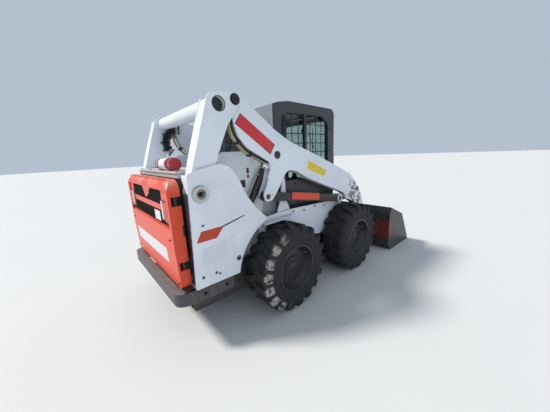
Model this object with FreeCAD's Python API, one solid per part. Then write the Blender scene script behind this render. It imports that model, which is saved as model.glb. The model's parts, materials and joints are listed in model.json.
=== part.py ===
import FreeCAD, Part
import math
import os

# Skid steer loader, lengths in millimetres.
# Profiles are written from the rear axle: x forward, y left, z up from the ground.
# Every node is then moved so that the origin is midway along the machine, on the ground.
# Pieces on both sides are drawn on the right and mirrored to the left.

# Driving sizes
WHEELBASE = 1123.0
REAR_OVERHANG = 1040.0
COUPLER_REACH = 757.0
BUCKET_DEPTH = 780.0
TYRE_RADIUS = 419.0
TYRE_WIDTH = 307.0
CAB_HALF = 490.0
SEAT_GAP = 0.3
PIN_GAP = 0.05
BORE_GAP = 0.05
OVERCUT = 1.0
STRAIGHT = math.radians(89.8)

# Stations along the machine
FRONT_AXLE_X = WHEELBASE
COUPLER_FACE_X = FRONT_AXLE_X + COUPLER_REACH
CUTTING_EDGE_X = COUPLER_FACE_X + BUCKET_DEPTH
OVERALL_LENGTH = REAR_OVERHANG + CUTTING_EDGE_X
ORIGIN_X = OVERALL_LENGTH / 2.0 - REAR_OVERHANG
FRAME_REAR_X = -REAR_OVERHANG + 160.0
FRAME_FRONT_X = FRONT_AXLE_X + 357.0
CAB_REAR_X = -100.0
CAB_FRONT_X = FRONT_AXLE_X + 12.0
TAIL_REAR_X = -REAR_OVERHANG + 42.0
TAIL_DEPTH = 90.0
TAIL_FRONT_X = TAIL_REAR_X + TAIL_DEPTH
PANEL_REAR_X = -REAR_OVERHANG + 142.0

# Lanes across the machine, outward from the cab
CAB_GAP = 7.0
TOWER_PLATE = 7.0
MOVING_GAP = 5.0
BARREL_RADIUS = 33.0
EYE_WIDTH = 64.0
ARM_WIDTH = 82.0
ARM_CHEEK = 12.0
LINK_GAP = 7.0
LINK_PLATE = 12.0
PANEL_GAP = 10.0
PANEL_PLATE = 8.0
UPRIGHT_PLATE = 14.0
CONTROL_WIDTH = 45.0
HUB_REACH = 85.0
TOWER_INNER_Y = CAB_HALF + CAB_GAP
TOWER_OUTER_Y = TOWER_INNER_Y + TOWER_PLATE
CYLINDER_Y = TOWER_OUTER_Y + MOVING_GAP + BARREL_RADIUS
EYE_INNER_Y = CYLINDER_Y - EYE_WIDTH / 2.0
EYE_OUTER_Y = CYLINDER_Y + EYE_WIDTH / 2.0
ARM_INNER_Y = CYLINDER_Y + BARREL_RADIUS + MOVING_GAP
ARM_OUTER_Y = ARM_INNER_Y + ARM_WIDTH
LINK_INNER_Y = ARM_INNER_Y - LINK_GAP - LINK_PLATE
LINK_OUTER_Y = ARM_OUTER_Y + LINK_GAP + LINK_PLATE
PANEL_HALF = LINK_OUTER_Y + PANEL_GAP + PANEL_PLATE
PANEL_INNER_Y = PANEL_HALF - PANEL_PLATE
UPRIGHT_Y = LINK_INNER_Y - UPRIGHT_PLATE
FRAME_HALF = UPRIGHT_Y + 8.0
WALL_Y = ARM_INNER_Y + ARM_CHEEK
WALL_PLATE = 8.0
CONTROL_INNER_Y = WALL_Y + MOVING_GAP
CONTROL_OUTER_Y = CONTROL_INNER_Y + CONTROL_WIDTH
TYRE_INNER_Y = WALL_Y + 6.0
TYRE_OUTER_Y = TYRE_INNER_Y + TYRE_WIDTH
WHEEL_Y = (TYRE_INNER_Y + TYRE_OUTER_Y) / 2.0
AXLE_END_Y = FRAME_HALF + HUB_REACH
COUPLER_HALF = ARM_INNER_Y - 80.0
BUCKET_HALF = TYRE_OUTER_Y + 36.0

# Heights
AXLE_HEIGHT = TYRE_RADIUS
FRAME_BOTTOM_Z = 240.0
CHAINCASE_TOP_Z = 545.0
SHELF_Z = 2.0 * TYRE_RADIUS + 12.0
WALL_TOP_Z = SHELF_Z + 50.0
FRAME_FRONT_Z = 700.0
CAB_BOTTOM_Z = 760.0
CAB_TOP_Z = 2006.0
UPRIGHT_TOP_Z = 1340.0
DECK_Z = UPRIGHT_TOP_Z + 52.0
TAIL_TOP_Z = DECK_Z - 50.0
TAIL_BOTTOM_Z = 518.0

# Wheels
WHEEL_HALF = TYRE_WIDTH / 2.0
RIM_RADIUS = 222.0
RIM_WALL = 9.0
RIM_DISH = 96.0
RIM_DISC = 14.0
RIM_INSET = 8.0
RIM_FLANGE = 10.0
HUB_RADIUS = 74.0
HUB_CAP_RADIUS = 88.0
WHEEL_BOLTS = 8
WHEEL_BOLT_CIRCLE = 203.0
WHEEL_BOLT_RADIUS = 13.0
AXLE_RADIUS = 82.0
LUGS_PER_SIDE = 18
LUG_PITCH = 360.0 / LUGS_PER_SIDE
LUG_SPAN = 8.5
LUG_LEAN = 7.0
GROOVE_RADIUS = TYRE_RADIUS - 27.0
# Half sections of the tread as (share of the half width, radius)
LUG_SECTION = ((0.0, TYRE_RADIUS), (0.80, TYRE_RADIUS), (0.99, TYRE_RADIUS - 50.0), (1.0, 326.0))
GROOVE_SECTION = ((0.0, GROOVE_RADIUS), (0.72, GROOVE_RADIUS), (0.93, GROOVE_RADIUS - 36.0), (1.0, 326.0))
BEAD_RADIUS = RIM_RADIUS / math.cos(math.radians((LUG_PITCH - LUG_SPAN) / 2.0))
SIDEWALL_SECTION = ((1.0, 326.0), (0.97, 262.0), (0.86, BEAD_RADIUS))
# Turned so that a lug's corner points straight down
LUG_PHASE = -90.0 - LUG_LEAN * LUG_SECTION[1][0]

# Frame
CHAINCASE_WIDTH = 150.0
CHAINCASE_REAR_X = -600.0
BELLY_PLATE = 12.0
UPRIGHT_FRONT_X = -620.0
UPRIGHT_NOSE_X = -500.0
BRIDGE_DEPTH = 30.0
BRIDGE_TALL = 40.0
SILL_WIDTH = 50.0
JAMB_X = FRAME_REAR_X - 13.0
JAMB_HALF = PANEL_INNER_Y - 3.0
JAMB_TOP_Z = 1240.0
JAMB_WEB_TOP_Z = 1120.0
STEP_REAR_X = CAB_FRONT_X + 15.0

# Side panels
PANEL_BOTTOM_Z = 505.0
ARCH_RADIUS = TYRE_RADIUS + 101.0
TIE_DOWN_RISE = 221.0
TIE_DOWN_EDGE = 38.0
TIE_DOWN = (-math.sqrt((ARCH_RADIUS + TIE_DOWN_EDGE) ** 2 - TIE_DOWN_RISE ** 2), AXLE_HEIGHT + TIE_DOWN_RISE)
TIE_DOWN_RADIUS = 17.0
PANEL_HOLES = ((PANEL_REAR_X + 60.0, 588.0), (PANEL_REAR_X + 170.0, 588.0))
PANEL_HOLE_RADIUS = 8.0
BOSS_RADIUS = 58.0
BOSS_HEIGHT = 20.0
PANEL_OUTLINE = ((PANEL_REAR_X - 7.0, PANEL_BOTTOM_Z, 14), (PANEL_REAR_X + 28.0, DECK_Z - 18.0, 20),
                 (-778.0, 1404.0, 60), (-612.0, 1434.0, 90), (-520.0, 1404.0, 120), (-446.0, 1291.0, 400),
                 (-403.0, 1180.0, 900), (-300.0, 1036.0, 500), (-160.0, 903.0, 0))
GUSSET_OUTLINE = ((-PANEL_HALF, PANEL_BOTTOM_Z, 0), (-PANEL_HALF, DECK_Z - 18.0, 0),
                  (109.0 - PANEL_HALF, DECK_Z - 18.0, 0), (99.0 - PANEL_HALF, DECK_Z - 62.0, 30),
                  (39.0 - PANEL_HALF, DECK_Z - 142.0, 80), (11.0 - PANEL_HALF, DECK_Z - 212.0, 60),
                  (9.0 - PANEL_HALF, PANEL_BOTTOM_Z, 0))

# Lift linkage pivots, as (x, z) in the side view
LINK_PIVOT = (-790.0, 1227.0)
LINK_TOP = (-423.0, 1905.0)
CONTROL_REAR = (-127.0, SHELF_Z + 253.0)
CONTROL_FRONT = (FRONT_AXLE_X - 54.0, SHELF_Z + 51.0)
LIFT_BASE = (-520.0, 598.0)
LIFT_EYE = (6.0, 1474.0)
CROSS_TUBE = (-565.0, 1861.0)
BUCKET_PIVOT = (COUPLER_FACE_X - 125.0, 215.0)
TILT_BASE = (FRONT_AXLE_X + 307.0, 985.0)
TILT_EYE = (COUPLER_FACE_X - 100.0, 393.0)
LINK_PIN_RADIUS = 38.0
TOP_PIN_RADIUS = 34.0
CONTROL_PIN_RADIUS = 28.0
LIFT_PIN_RADIUS = 22.0
BUCKET_PIN_RADIUS = 24.0
TUBE_RADIUS = 62.0
TUBE_BORE = 48.0
CONTROL_DEPTH = 84.0
CONTROL_EYE = 48.0
SUPPORT_PLATE = 8.0
SUPPORT_START = 0.27
SUPPORT_END = 0.64

# White fender wall, its shelf over the rear tyre, the cylinder tower and the exhaust post
WALL_FRONT_X = FRONT_AXLE_X + 27.0
WALL_OUTLINE = ((-200.0, SHELF_Z, 0), (-160.0, WALL_TOP_Z - 10.0, 20), (60.0, WALL_TOP_Z + 5.0, 60),
                (230.0, WALL_TOP_Z + 8.0, 100), (650.0, WALL_TOP_Z - 6.0, 300), (960.0, WALL_TOP_Z - 20.0, 200),
                (WALL_FRONT_X, WALL_TOP_Z - 29.0, 20), (WALL_FRONT_X, 600.0, 20),
                (WALL_FRONT_X - 50.0, CHAINCASE_TOP_Z, 20), (-200.0, CHAINCASE_TOP_Z, 0))
TOWER_OUTLINE = ((-620.0, CHAINCASE_TOP_Z + 0.3, 0), (-620.0, UPRIGHT_TOP_Z - 8.0, 20), (-528.0, UPRIGHT_TOP_Z - 8.0, 0),
                 (-528.0, 1460.0, 40), (-480.0, 1520.0, 40), (-130.0, 1520.0, 40), (-75.0, 1460.0, 60),
                 (-60.0, 1100.0, 200), (-110.0, CAB_BOTTOM_Z, 60), (-110.0, CHAINCASE_TOP_Z + 0.3, 0))
POST_OUTLINE = ((60.0, WALL_TOP_Z - 60.0, 0), (60.0, WALL_TOP_Z + 15.0, 10), (100.0, WALL_TOP_Z + 110.0, 40),
                (140.0, WALL_TOP_Z + 340.0, 12), (175.0, WALL_TOP_Z + 340.0, 12), (190.0, WALL_TOP_Z + 110.0, 40),
                (230.0, WALL_TOP_Z + 15.0, 10), (230.0, WALL_TOP_Z - 60.0, 0))
PIVOT_LUG_OUTLINE = ((CONTROL_FRONT[0] - 129.0, SHELF_Z - 90.0, 30), (CONTROL_FRONT[0] - 109.0, SHELF_Z + 55.0, 60),
                     (CONTROL_FRONT[0], SHELF_Z + 118.0, 60), (CONTROL_FRONT[0] + 71.0, SHELF_Z + 65.0, 60),
                     (CONTROL_FRONT[0] + 81.0, SHELF_Z - 90.0, 30))
SHELF_OUTLINE = ((-200.0, -WALL_Y, 0), (-200.0, -PANEL_INNER_Y + SEAT_GAP, 0), (60.0, -PANEL_INNER_Y + SEAT_GAP, 60),
                 (230.0, -WALL_Y - 14.0, 20), (260.0, -WALL_Y, 0))

# Lift linkage outlines
LINK_OUTLINE = ((-655.0, 1900.0, 30), (-611.0, 1941.0, 60), (-412.0, 1961.0, 70), (-362.0, 1900.0, 60),
                (-433.0, 1806.0, 100), (-503.0, 1714.0, 100), (-565.0, 1588.0, 200), (-634.0, 1436.0, 200),
                (-712.0, 1190.0, 70), (-800.0, 1144.0, 70), (-872.0, 1220.0, 70), (-788.0, 1503.0, 300),
                (-716.0, 1716.0, 300))
LINK_WEB_OUTLINE = ((-850.0, 1300.0, 0), (-788.0, 1503.0, 300), (-716.0, 1716.0, 300), (-655.0, 1890.0, 0),
                    (-643.0, 1886.0, 0), (-704.0, 1712.0, 300), (-776.0, 1499.0, 300), (-838.0, 1296.0, 0))
LINK_TOP_WEB = ((-600.0, 1940.0, 0), (-520.0, 1948.0, 0), (-519.0, 1936.0, 0), (-599.0, 1928.0, 0))
ARM_ARCH_RADIUS = TYRE_RADIUS + 36.0
ARM_BACK = ((LINK_TOP[0] - 56.0, LINK_TOP[1] - 10.0, 52), (LINK_TOP[0] - 30.0, LINK_TOP[1] + 52.0, 44),
            (LINK_TOP[0] + 44.0, LINK_TOP[1] + 46.0, 50), (-172.0, 1811.0, 300), (-13.0, 1696.0, 500),
            (170.0, 1596.0, 900), (478.0, 1489.0, 1500), (854.0, 1351.0, 2500))
ARM_FRONT = ((FRONT_AXLE_X + 148.0, 1186.0, 300), (FRONT_AXLE_X + 217.0, 1122.0, 300),
             (FRONT_AXLE_X + 361.0, 985.0, 200), (FRONT_AXLE_X + 452.0, 850.0, 250),
             (FRONT_AXLE_X + 496.0, 700.0, 400), (FRONT_AXLE_X + 532.0, 570.0, 400),
             (BUCKET_PIVOT[0] - 35.0, 410.0, 300), (BUCKET_PIVOT[0] + 42.0, 290.0, 120),
             (BUCKET_PIVOT[0] + 64.0, BUCKET_PIVOT[1], 60), (BUCKET_PIVOT[0], BUCKET_PIVOT[1] - 64.0, 60),
             (BUCKET_PIVOT[0] - 64.0, BUCKET_PIVOT[1], 60), (FRONT_AXLE_X + 501.0, 360.0, 200),
             (FRONT_AXLE_X + 465.0, 460.0, 0))
ARM_OVER_TYRE = ((FRONT_AXLE_X + 405.0, 500.0, 0), (FRONT_AXLE_X + 277.0, 620.0, 0), (FRONT_AXLE_X + 57.0, 790.0, 0),
                 (FRONT_AXLE_X + 57.0, 858.0, 0), (FRONT_AXLE_X + 42.0, 900.0, 60),
                 (FRONT_AXLE_X + 7.0, 960.0, 80), (CONTROL_FRONT[0], 985.0, 200))
ARM_UNDER = ((694.0, 1120.0, 900), (439.0, 1216.0, 900), (260.0, 1306.0, 120), (130.0, 1330.0, 90),
             (62.0, 1235.0, 200), (-21.0, 1124.0, 60),
             (CONTROL_REAR[0] + 46.0, CONTROL_REAR[1] - 44.0, 50), (CONTROL_REAR[0] - 36.0, CONTROL_REAR[1] - 46.0, 50),
             (CONTROL_REAR[0] - 52.0, CONTROL_REAR[1] + 20.0, 50), (-117.0, 1254.0, 300), (-70.0, 1400.0, 60),
             (-198.0, 1473.0, 300), (-325.0, 1538.0, 300), (-412.0, 1640.0, 200), (-448.0, 1760.0, 120),
             (LINK_TOP[0] - 20.0, LINK_TOP[1] - 90.0, 40))
ARM_SLOT = ((-320.0, 980.0, 0), (-320.0, 1380.0, 0), (-150.0, 1380.0, 0), (60.0, 1310.0, 30),
            (130.0, 1235.0, 0), (130.0, 980.0, 0))
CROSS_MEMBER = (FRONT_AXLE_X + 469.0, 20.0, 400.0, 530.0)

# Cylinders: (name, base, eye, barrel length, rod start)
ROD_RADIUS = 22.0
CYLINDERS = (("lift", LIFT_BASE, LIFT_EYE, 870.0, 66.0),
             ("tilt", TILT_BASE, TILT_EYE, 560.0, 160.0))

# Cab
CAB_WALL = 34.0
CAB_SPLIT_X = 120.0
CAB_EAVES_Z = CAB_TOP_Z - 113.0
CAB_BROW_Z = CAB_TOP_Z - 18.0
ROOF_SHEET = 40.0
CAB_FLOOR = 16.0
CAB_INNER_FRONT_X = CAB_FRONT_X - 39.0
GLASS = 6.0
PANE_LAP = 20.0
WINDOW_BOTTOM_Z = CAB_BOTTOM_Z + 440.0
WINDOW_TOP_Z = CAB_TOP_Z - 116.0
DIVIDER = (588.0, 616.0)
REAR_SLOT = (54.0, 78.0)
REAR_SLOT_DEPTH = 5.0
REAR_WINDOW_HALF = CAB_HALF - 110.0
REAR_WINDOW_BOTTOM_Z = CAB_TOP_Z - 506.0
REAR_WINDOW_TOP_Z = CAB_TOP_Z - 206.0
REAR_RING = 12.0
SCREEN_PLATE = 4.0
SCREEN_BAR = 10.0
SCREEN_COLUMNS = 8
SCREEN_ROWS = 7
DOOR_THICKNESS = 30.0
DOOR_HALF = CAB_HALF - 60.0
DOOR_BOTTOM_Z = CAB_BOTTOM_Z + 70.0
DOOR_TOP_Z = CAB_TOP_Z - 76.0
DOOR_GAP = 6.0
DOOR_FRAME = 60.0
DOOR_HINGE = (CAB_FRONT_X + 21.0, CAB_HALF - 49.0)
DOOR_HINGE_RADIUS = 11.0
DOOR_HINGE_PIN = 5.0
DOOR_HINGE_HEIGHTS = (CAB_BOTTOM_Z + 260.0, CAB_TOP_Z - 266.0)
DOOR_HINGE_TALL = 50.0
HEAD_LAMP = (CAB_FRONT_X - 37.0, CAB_FRONT_X + 27.0, CAB_HALF - 170.0, CAB_HALF - 50.0, CAB_TOP_Z - 60.0,
             CAB_TOP_Z - 8.0)
HANDLE_RADIUS = 10.0
HANDLE_STAND = 34.0
HANDLE_Z = (1150.0, 1450.0)
CAB_PIVOT = (70.0, CAB_BOTTOM_Z - 25.0)
CAB_PIVOT_RADIUS = 19.0
CAB_PIVOT_PIN = 9.0
CAB_PIVOT_Y = CAB_HALF - 25.0
LEVER_Y = CAB_HALF - 150.0
SEAT_HALF = LEVER_Y - 100.0
SEAT_TOP_Z = CAB_TOP_Z - 250.0
ENGINE_HALF = UPRIGHT_Y - 217.0
COOLER_HALF = UPRIGHT_Y - 77.0

# Tailgate and deck
TAIL_HALF = PANEL_HALF - 65.0
TAIL_WALL = 22.0
TAIL_CORNER = 90.0
POCKET_HALF = TAIL_HALF - 44.0
POCKET_DEPTH = 12.0
POCKET_BOTTOM_Z = TAIL_TOP_Z - 357.0
POCKET_TOP_Z = TAIL_TOP_Z - 67.0
CREASE_Z = 850.0
CREASE_DEPTH = 14.0
GRILLE_HALF = POCKET_HALF - 140.0
FOOT_HALF = POCKET_HALF - 15.0
UPPER_GRILLE = ((-GRILLE_HALF, TAIL_TOP_Z - 192.0, 16), (-GRILLE_HALF, TAIL_TOP_Z - 80.0, 16),
                (GRILLE_HALF, TAIL_TOP_Z - 80.0, 16), (GRILLE_HALF, TAIL_TOP_Z - 192.0, 16))
TONGUE = ((-223.0, TAIL_TOP_Z - 60.0, 0), (-76.0, TAIL_TOP_Z - 160.0, 10), (-26.0, TAIL_TOP_Z - 169.0, 10),
          (57.0, TAIL_TOP_Z - 60.0, 0))
LOWER_GRILLE = ((-GRILLE_HALF + 10.0, TAIL_TOP_Z - 238.0, 16), (GRILLE_HALF - 10.0, TAIL_TOP_Z - 238.0, 16),
                (GRILLE_HALF, TAIL_TOP_Z - 310.0, 10), (FOOT_HALF, TAIL_TOP_Z - 324.0, 10),
                (FOOT_HALF, TAIL_TOP_Z - 350.0, 8), (-FOOT_HALF, TAIL_TOP_Z - 350.0, 8),
                (-FOOT_HALF, TAIL_TOP_Z - 324.0, 10), (-GRILLE_HALF, TAIL_TOP_Z - 310.0, 10))
# Rows of louvre bars behind the grilles: (lowest bar, highest bar, spans across)
LOUVRES = ((TAIL_TOP_Z - 332.0, TAIL_TOP_Z - 246.0, ((-GRILLE_HALF + 14.0, GRILLE_HALF - 14.0),)),
           (TAIL_TOP_Z - 184.0, TAIL_TOP_Z - 100.0, ((-GRILLE_HALF + 4.0, -229.0), (63.0, GRILLE_HALF - 4.0))))
LOUVRE_PITCH = 16.0
LOUVRE_TALL = 7.0
LAMP_INNER_Y = POCKET_HALF - 132.0
LAMP_OUTER_Y = POCKET_HALF - 4.0
LAMP_Z = (TAIL_TOP_Z - 300.0, TAIL_TOP_Z - 154.0)
TAIL_HINGE = (-REAR_OVERHANG + 100.0, -TAIL_HALF + 34.0)
TAIL_HINGE_RADIUS = 16.0
TAIL_HINGE_PIN = 8.0
TAIL_HINGE_HEIGHTS = (700.0, 1190.0)
TAIL_HINGE_TALL = 60.0
TAIL_KNUCKLE_TALL = 42.0
BUMPER_HALF = PANEL_HALF - 15.0
BUMPER_TOP_Z = PANEL_BOTTOM_Z - 8.0
BUMPER_BOTTOM_Z = 392.0
BUMPER_BAR = 60.0
BUMPER_FRONT_X = -545.0
DECK_HALF = UPRIGHT_Y - 7.0
DECK_PLATE = 16.0
DECK_REAR_X = FRAME_REAR_X - 5.0
DECK_SPLIT_X = DECK_REAR_X + 110.0
DECK_FRONT_X = UPRIGHT_NOSE_X - 37.0
DECK_SEAM = 6.0
VENT_SLOTS = 5
VENT_PITCH = 34.0
VENT_WIDTH = 12.0
VENT_HALF = DECK_HALF - 240.0
COVER_HINGE = (UPRIGHT_NOSE_X - 35.0, DECK_Z - 18.0)
COVER_HINGE_RADIUS = 13.0
COVER_HINGE_PIN = 6.0
COVER_HINGE_Y = DECK_HALF - 210.0
COVER_HINGE_WIDE = 60.0
BOTTLE_X = DECK_REAR_X + 43.0
BOTTLE_RADIUS = 48.0
BOTTLE_ENDS = (-430.0, -60.0)
BOTTLE_NECK_Y = 30.0

# Coupler and bucket
COUPLER_TOP_Z = 545.0
COUPLER_BOTTOM_Z = 120.0
COUPLER_BEAM = 60.0
COUPLER_LEVERS = (COUPLER_HALF - 280.0, COUPLER_HALF - 200.0)
BUCKET_SHEET = 12.0
BUCKET_TOP_Z = 650.0
BUCKET_SIDE_X = CUTTING_EDGE_X - 330.0
BUCKET_SIDE_Z = 492.0
BUCKET_HEEL = 90.0
BUCKET_RIBS = (BUCKET_HALF - 241.0, BUCKET_HALF - 81.0)
EDGE_PLATE = 18.0
EDGE_WIDTH = 150.0
EDGE_LIP = 30.0


def vec(x, y, z):
    return FreeCAD.Vector(x, y, z)


def place(plane, a, b, level):
    if plane == "side":
        return vec(a, level, b)
    if plane == "plan":
        return vec(a, b, level)
    return vec(level, a, b)


def corner_arc(before, corner, after):
    """Start, middle and end of the arc that rounds one corner, or the corner itself."""
    a, b, radius = corner
    sharp = ((a, b), None, (a, b))
    if radius <= 0.0:
        return sharp
    back = math.hypot(before[0] - a, before[1] - b)
    ahead = math.hypot(after[0] - a, after[1] - b)
    ua, ub = (before[0] - a) / back, (before[1] - b) / back
    va, vb = (after[0] - a) / ahead, (after[1] - b) / ahead
    half = math.acos(max(-1.0, min(1.0, ua * va + ub * vb))) / 2.0
    if half > STRAIGHT:
        return sharp
    cut = min(radius / math.tan(half), 0.46 * back, 0.46 * ahead)
    size = cut * math.tan(half)
    wa, wb = ua + va, ub + vb
    reach = (size / math.sin(half) - size) / math.hypot(wa, wb)
    return (a + ua * cut, b + ub * cut), (a + wa * reach, b + wb * reach), (a + va * cut, b + vb * cut)


def rounded_wire(corners, plane, level):
    """Closed wire through corners (a, b, radius), each corner rounded by an arc."""
    count = len(corners)
    ends = [corner_arc(corners[i - 1], corners[i], corners[(i + 1) % count]) for i in range(count)]
    edges = []
    for i, (start, middle, end) in enumerate(ends):
        if middle is not None:
            arc = Part.Arc(place(plane, *start, level), place(plane, *middle, level), place(plane, *end, level))
            edges.append(arc.toShape())
        follow = ends[(i + 1) % count][0]
        if math.hypot(follow[0] - end[0], follow[1] - end[1]) > 1e-6:
            edges.append(Part.makeLine(place(plane, *end, level), place(plane, *follow, level)))
    return Part.Wire(Part.__sortEdges__(edges))


def slab(corners, plane, low, high):
    """Flat profile of (a, b, radius) corners, extruded from low to high."""
    face = Part.Face(rounded_wire(corners, plane, low))
    return face.extrude(place(plane, 0.0, 0.0, high - low))


def box(x0, x1, y0, y1, z0, z1):
    return Part.makeBox(x1 - x0, y1 - y0, z1 - z0, vec(x0, y0, z0))


def rod_y(centre, radius, y0, y1):
    x, z = centre
    return Part.makeCylinder(radius, y1 - y0, vec(x, y0, z), vec(0, 1, 0))


def right_slab(corners, inner, outer):
    """Side profile on the right, between two distances from the middle plane."""
    return slab(corners, "side", -outer, -inner)


def right_box(x0, x1, inner, outer, z0, z1):
    return box(x0, x1, -outer, -inner, z0, z1)


def right_rod(centre, radius, inner, outer):
    return rod_y(centre, radius, -outer, -inner)


def join(shapes):
    whole = shapes[0]
    for shape in shapes[1:]:
        whole = whole.fuse(shape)
    return whole.removeSplitter()


def mirrored(shape):
    return shape.mirror(vec(0, 0, 0), vec(0, 1, 0))


def both(shapes):
    return shapes + [mirrored(shape) for shape in shapes]


def save(node, shapes):
    """Write one node, moved from the rear axle to the machine's origin."""
    solids = []
    for shape in shapes:
        solids.extend(shape.Solids)
    whole = solids[0] if len(solids) == 1 else Part.makeCompound(solids)
    whole.translate(vec(-ORIGIN_X, 0, 0))
    whole.exportStep("parts/" + node + ".step")


def along(start, end, radius, from_mm, to_mm, y):
    """Round bar in the side plane, measured along the line from start to end."""
    dx, dz = end[0] - start[0], end[1] - start[1]
    length = math.hypot(dx, dz)
    ux, uz = dx / length, dz / length
    foot = vec(start[0] + ux * from_mm, y, start[1] + uz * from_mm)
    return Part.makeCylinder(radius, to_mm - from_mm, foot, vec(ux, 0, uz))


def spin(section):
    """Turn a (y, radius, rounding) section about the wheel's own axis."""
    face = Part.Face(rounded_wire(section, "rear", 0.0))
    return face.revolve(vec(0, 0, 0), vec(0, 1, 0), 360.0)


# Wheels

def tread_point(side, station, angle):
    """Point of the tyre at a station (share of half width, radius), turned to an angle."""
    share, radius = station
    turn = math.radians(LUG_PHASE + angle + LUG_LEAN * share)
    return (radius * math.cos(turn), side * share * WHEEL_HALF, radius * math.sin(turn))


def strip(side, section, first, last):
    """Triangles of one section swept from one angle to the next."""
    found = []
    for low, high in zip(section, section[1:]):
        a = tread_point(side, low, first)
        b = tread_point(side, high, first)
        c = tread_point(side, high, last)
        d = tread_point(side, low, last)
        found.extend([(a, b, c), (a, c, d)])
    return found


def lug_wall(side, angle):
    """Triangles between the lug section and the groove section at one angle."""
    ring = [tread_point(side, station, angle) for station in LUG_SECTION]
    ring += [tread_point(side, station, angle) for station in reversed(GROOVE_SECTION[:-1])]
    last = len(ring) - 1
    pairs = [(0, 1, last), (1, last - 1, last), (1, 2, last - 1), (2, 3, last - 2), (2, last - 2, last - 1)]
    return [(ring[i], ring[j], ring[k]) for i, j, k in pairs]


def groove_floor(side, start, other_start, other_end, end):
    """Triangles of a groove's floor, whose middle edge also meets the other side's lug."""
    inner, outer = GROOVE_SECTION[0], GROOVE_SECTION[1]
    a = tread_point(side, outer, start)
    b = tread_point(side, outer, end)
    edge = [tread_point(side, inner, angle) for angle in (start, other_start, other_end, end)]
    return [(a, edge[0], edge[1]), (a, edge[1], edge[2]), (a, edge[2], edge[3]), (a, edge[3], b)]


def bead(start):
    """Triangles of the seat on the rim, between the two sides, over one pitch."""
    station = SIDEWALL_SECTION[-1]
    half_pitch = LUG_PITCH / 2.0
    left = [tread_point(1.0, station, start + step) for step in (0.0, LUG_SPAN, LUG_PITCH)]
    right = [tread_point(-1.0, station, start + half_pitch + step) for step in (LUG_SPAN - LUG_PITCH, 0.0, LUG_SPAN)]
    return [(left[0], left[1], right[0]), (left[1], right[1], right[0]), (left[1], right[2], right[1]),
            (left[1], left[2], right[2])]


def tyre():
    """Chunky tyre of flat facets: lugs alternate left and right of the middle and lean the same way."""
    facets = []
    half_pitch = LUG_PITCH / 2.0
    middle_wall = (GROOVE_SECTION[0], LUG_SECTION[0])
    for i in range(LUGS_PER_SIDE):
        for side, start in ((1.0, i * LUG_PITCH), (-1.0, i * LUG_PITCH + half_pitch)):
            end, follow = start + LUG_SPAN, start + LUG_PITCH
            other = start + half_pitch
            facets += strip(side, LUG_SECTION, start, end) + strip(side, GROOVE_SECTION[1:], end, follow)
            facets += lug_wall(side, start) + lug_wall(side, end)
            facets += strip(side, SIDEWALL_SECTION, start, end) + strip(side, SIDEWALL_SECTION, end, follow)
            facets += strip(side, middle_wall, start, end)
            facets += groove_floor(side, end, other, other + LUG_SPAN, follow)
        facets += bead(i * LUG_PITCH)
    faces = [Part.Face(Part.makePolygon([vec(*a), vec(*b), vec(*c), vec(*a)])) for a, b, c in facets]
    skin = Part.makeShell(faces)
    skin.sewShape()
    solid = Part.makeSolid(skin.Shells[0] if skin.Shells else skin)
    if solid.Volume < 0.0:
        solid.reverse()
    return solid.removeSplitter()


def hexagon(x, z, radius, y0, y1):
    """Hexagonal wheel nut along y."""
    turns = [math.radians(60.0 * i) for i in range(6)]
    return slab([(x + radius * math.cos(turn), z + radius * math.sin(turn), 0) for turn in turns], "side", y0, y1)


def rim():
    """Deep-dish wheel: barrel, recessed disc with a raised hub cap and a ring of bolts."""
    face_y = WHEEL_HALF - RIM_INSET
    disc_y = WHEEL_HALF - RIM_DISH
    back_y = RIM_INSET - WHEEL_HALF
    r = RIM_RADIUS - SEAT_GAP
    hub_end = AXLE_END_Y + SEAT_GAP - WHEEL_Y
    section = [(face_y, r + RIM_FLANGE, 0), (face_y, r - RIM_WALL, 0), (disc_y + 40, r - 28, 0),
               (disc_y, r - 48, 0), (disc_y, HUB_CAP_RADIUS + 8, 0), (disc_y + 14, HUB_CAP_RADIUS, 0),
               (disc_y + 14, 0, 0), (hub_end, 0, 0), (hub_end, HUB_RADIUS, 0), (disc_y - RIM_DISC, HUB_RADIUS, 0),
               (disc_y - RIM_DISC, r - 44, 0), (back_y, r - 32, 0), (back_y, r + RIM_FLANGE, 0),
               (back_y + 4, r + RIM_FLANGE, 0), (back_y + 8, r, 0), (face_y - 8, r, 0),
               (face_y - 4, r + RIM_FLANGE, 0)]
    shapes = [spin(section)]
    for i in range(WHEEL_BOLTS):
        turn = math.radians(360.0 / WHEEL_BOLTS * (i + 0.5))
        x, z = WHEEL_BOLT_CIRCLE / 2.0 * math.cos(turn), WHEEL_BOLT_CIRCLE / 2.0 * math.sin(turn)
        shapes.append(hexagon(x, z, WHEEL_BOLT_RADIUS, disc_y - 2.0, disc_y + 20.0))
    return shapes[0].multiFuse(shapes[1:])


def wheels():
    rubber = tyre()
    steel = rim()
    for end, x in (("rear", 0.0), ("front", FRONT_AXLE_X)):
        for side, sign in (("left", 1.0), ("right", -1.0)):
            for kind, shape in (("tyre", rubber), ("rim", steel)):
                piece = shape.copy() if sign > 0 else mirrored(shape)
                piece.translate(vec(x, sign * WHEEL_Y, AXLE_HEIGHT))
                save(kind + "_" + end + "_" + side, [piece])


# Frame

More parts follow.
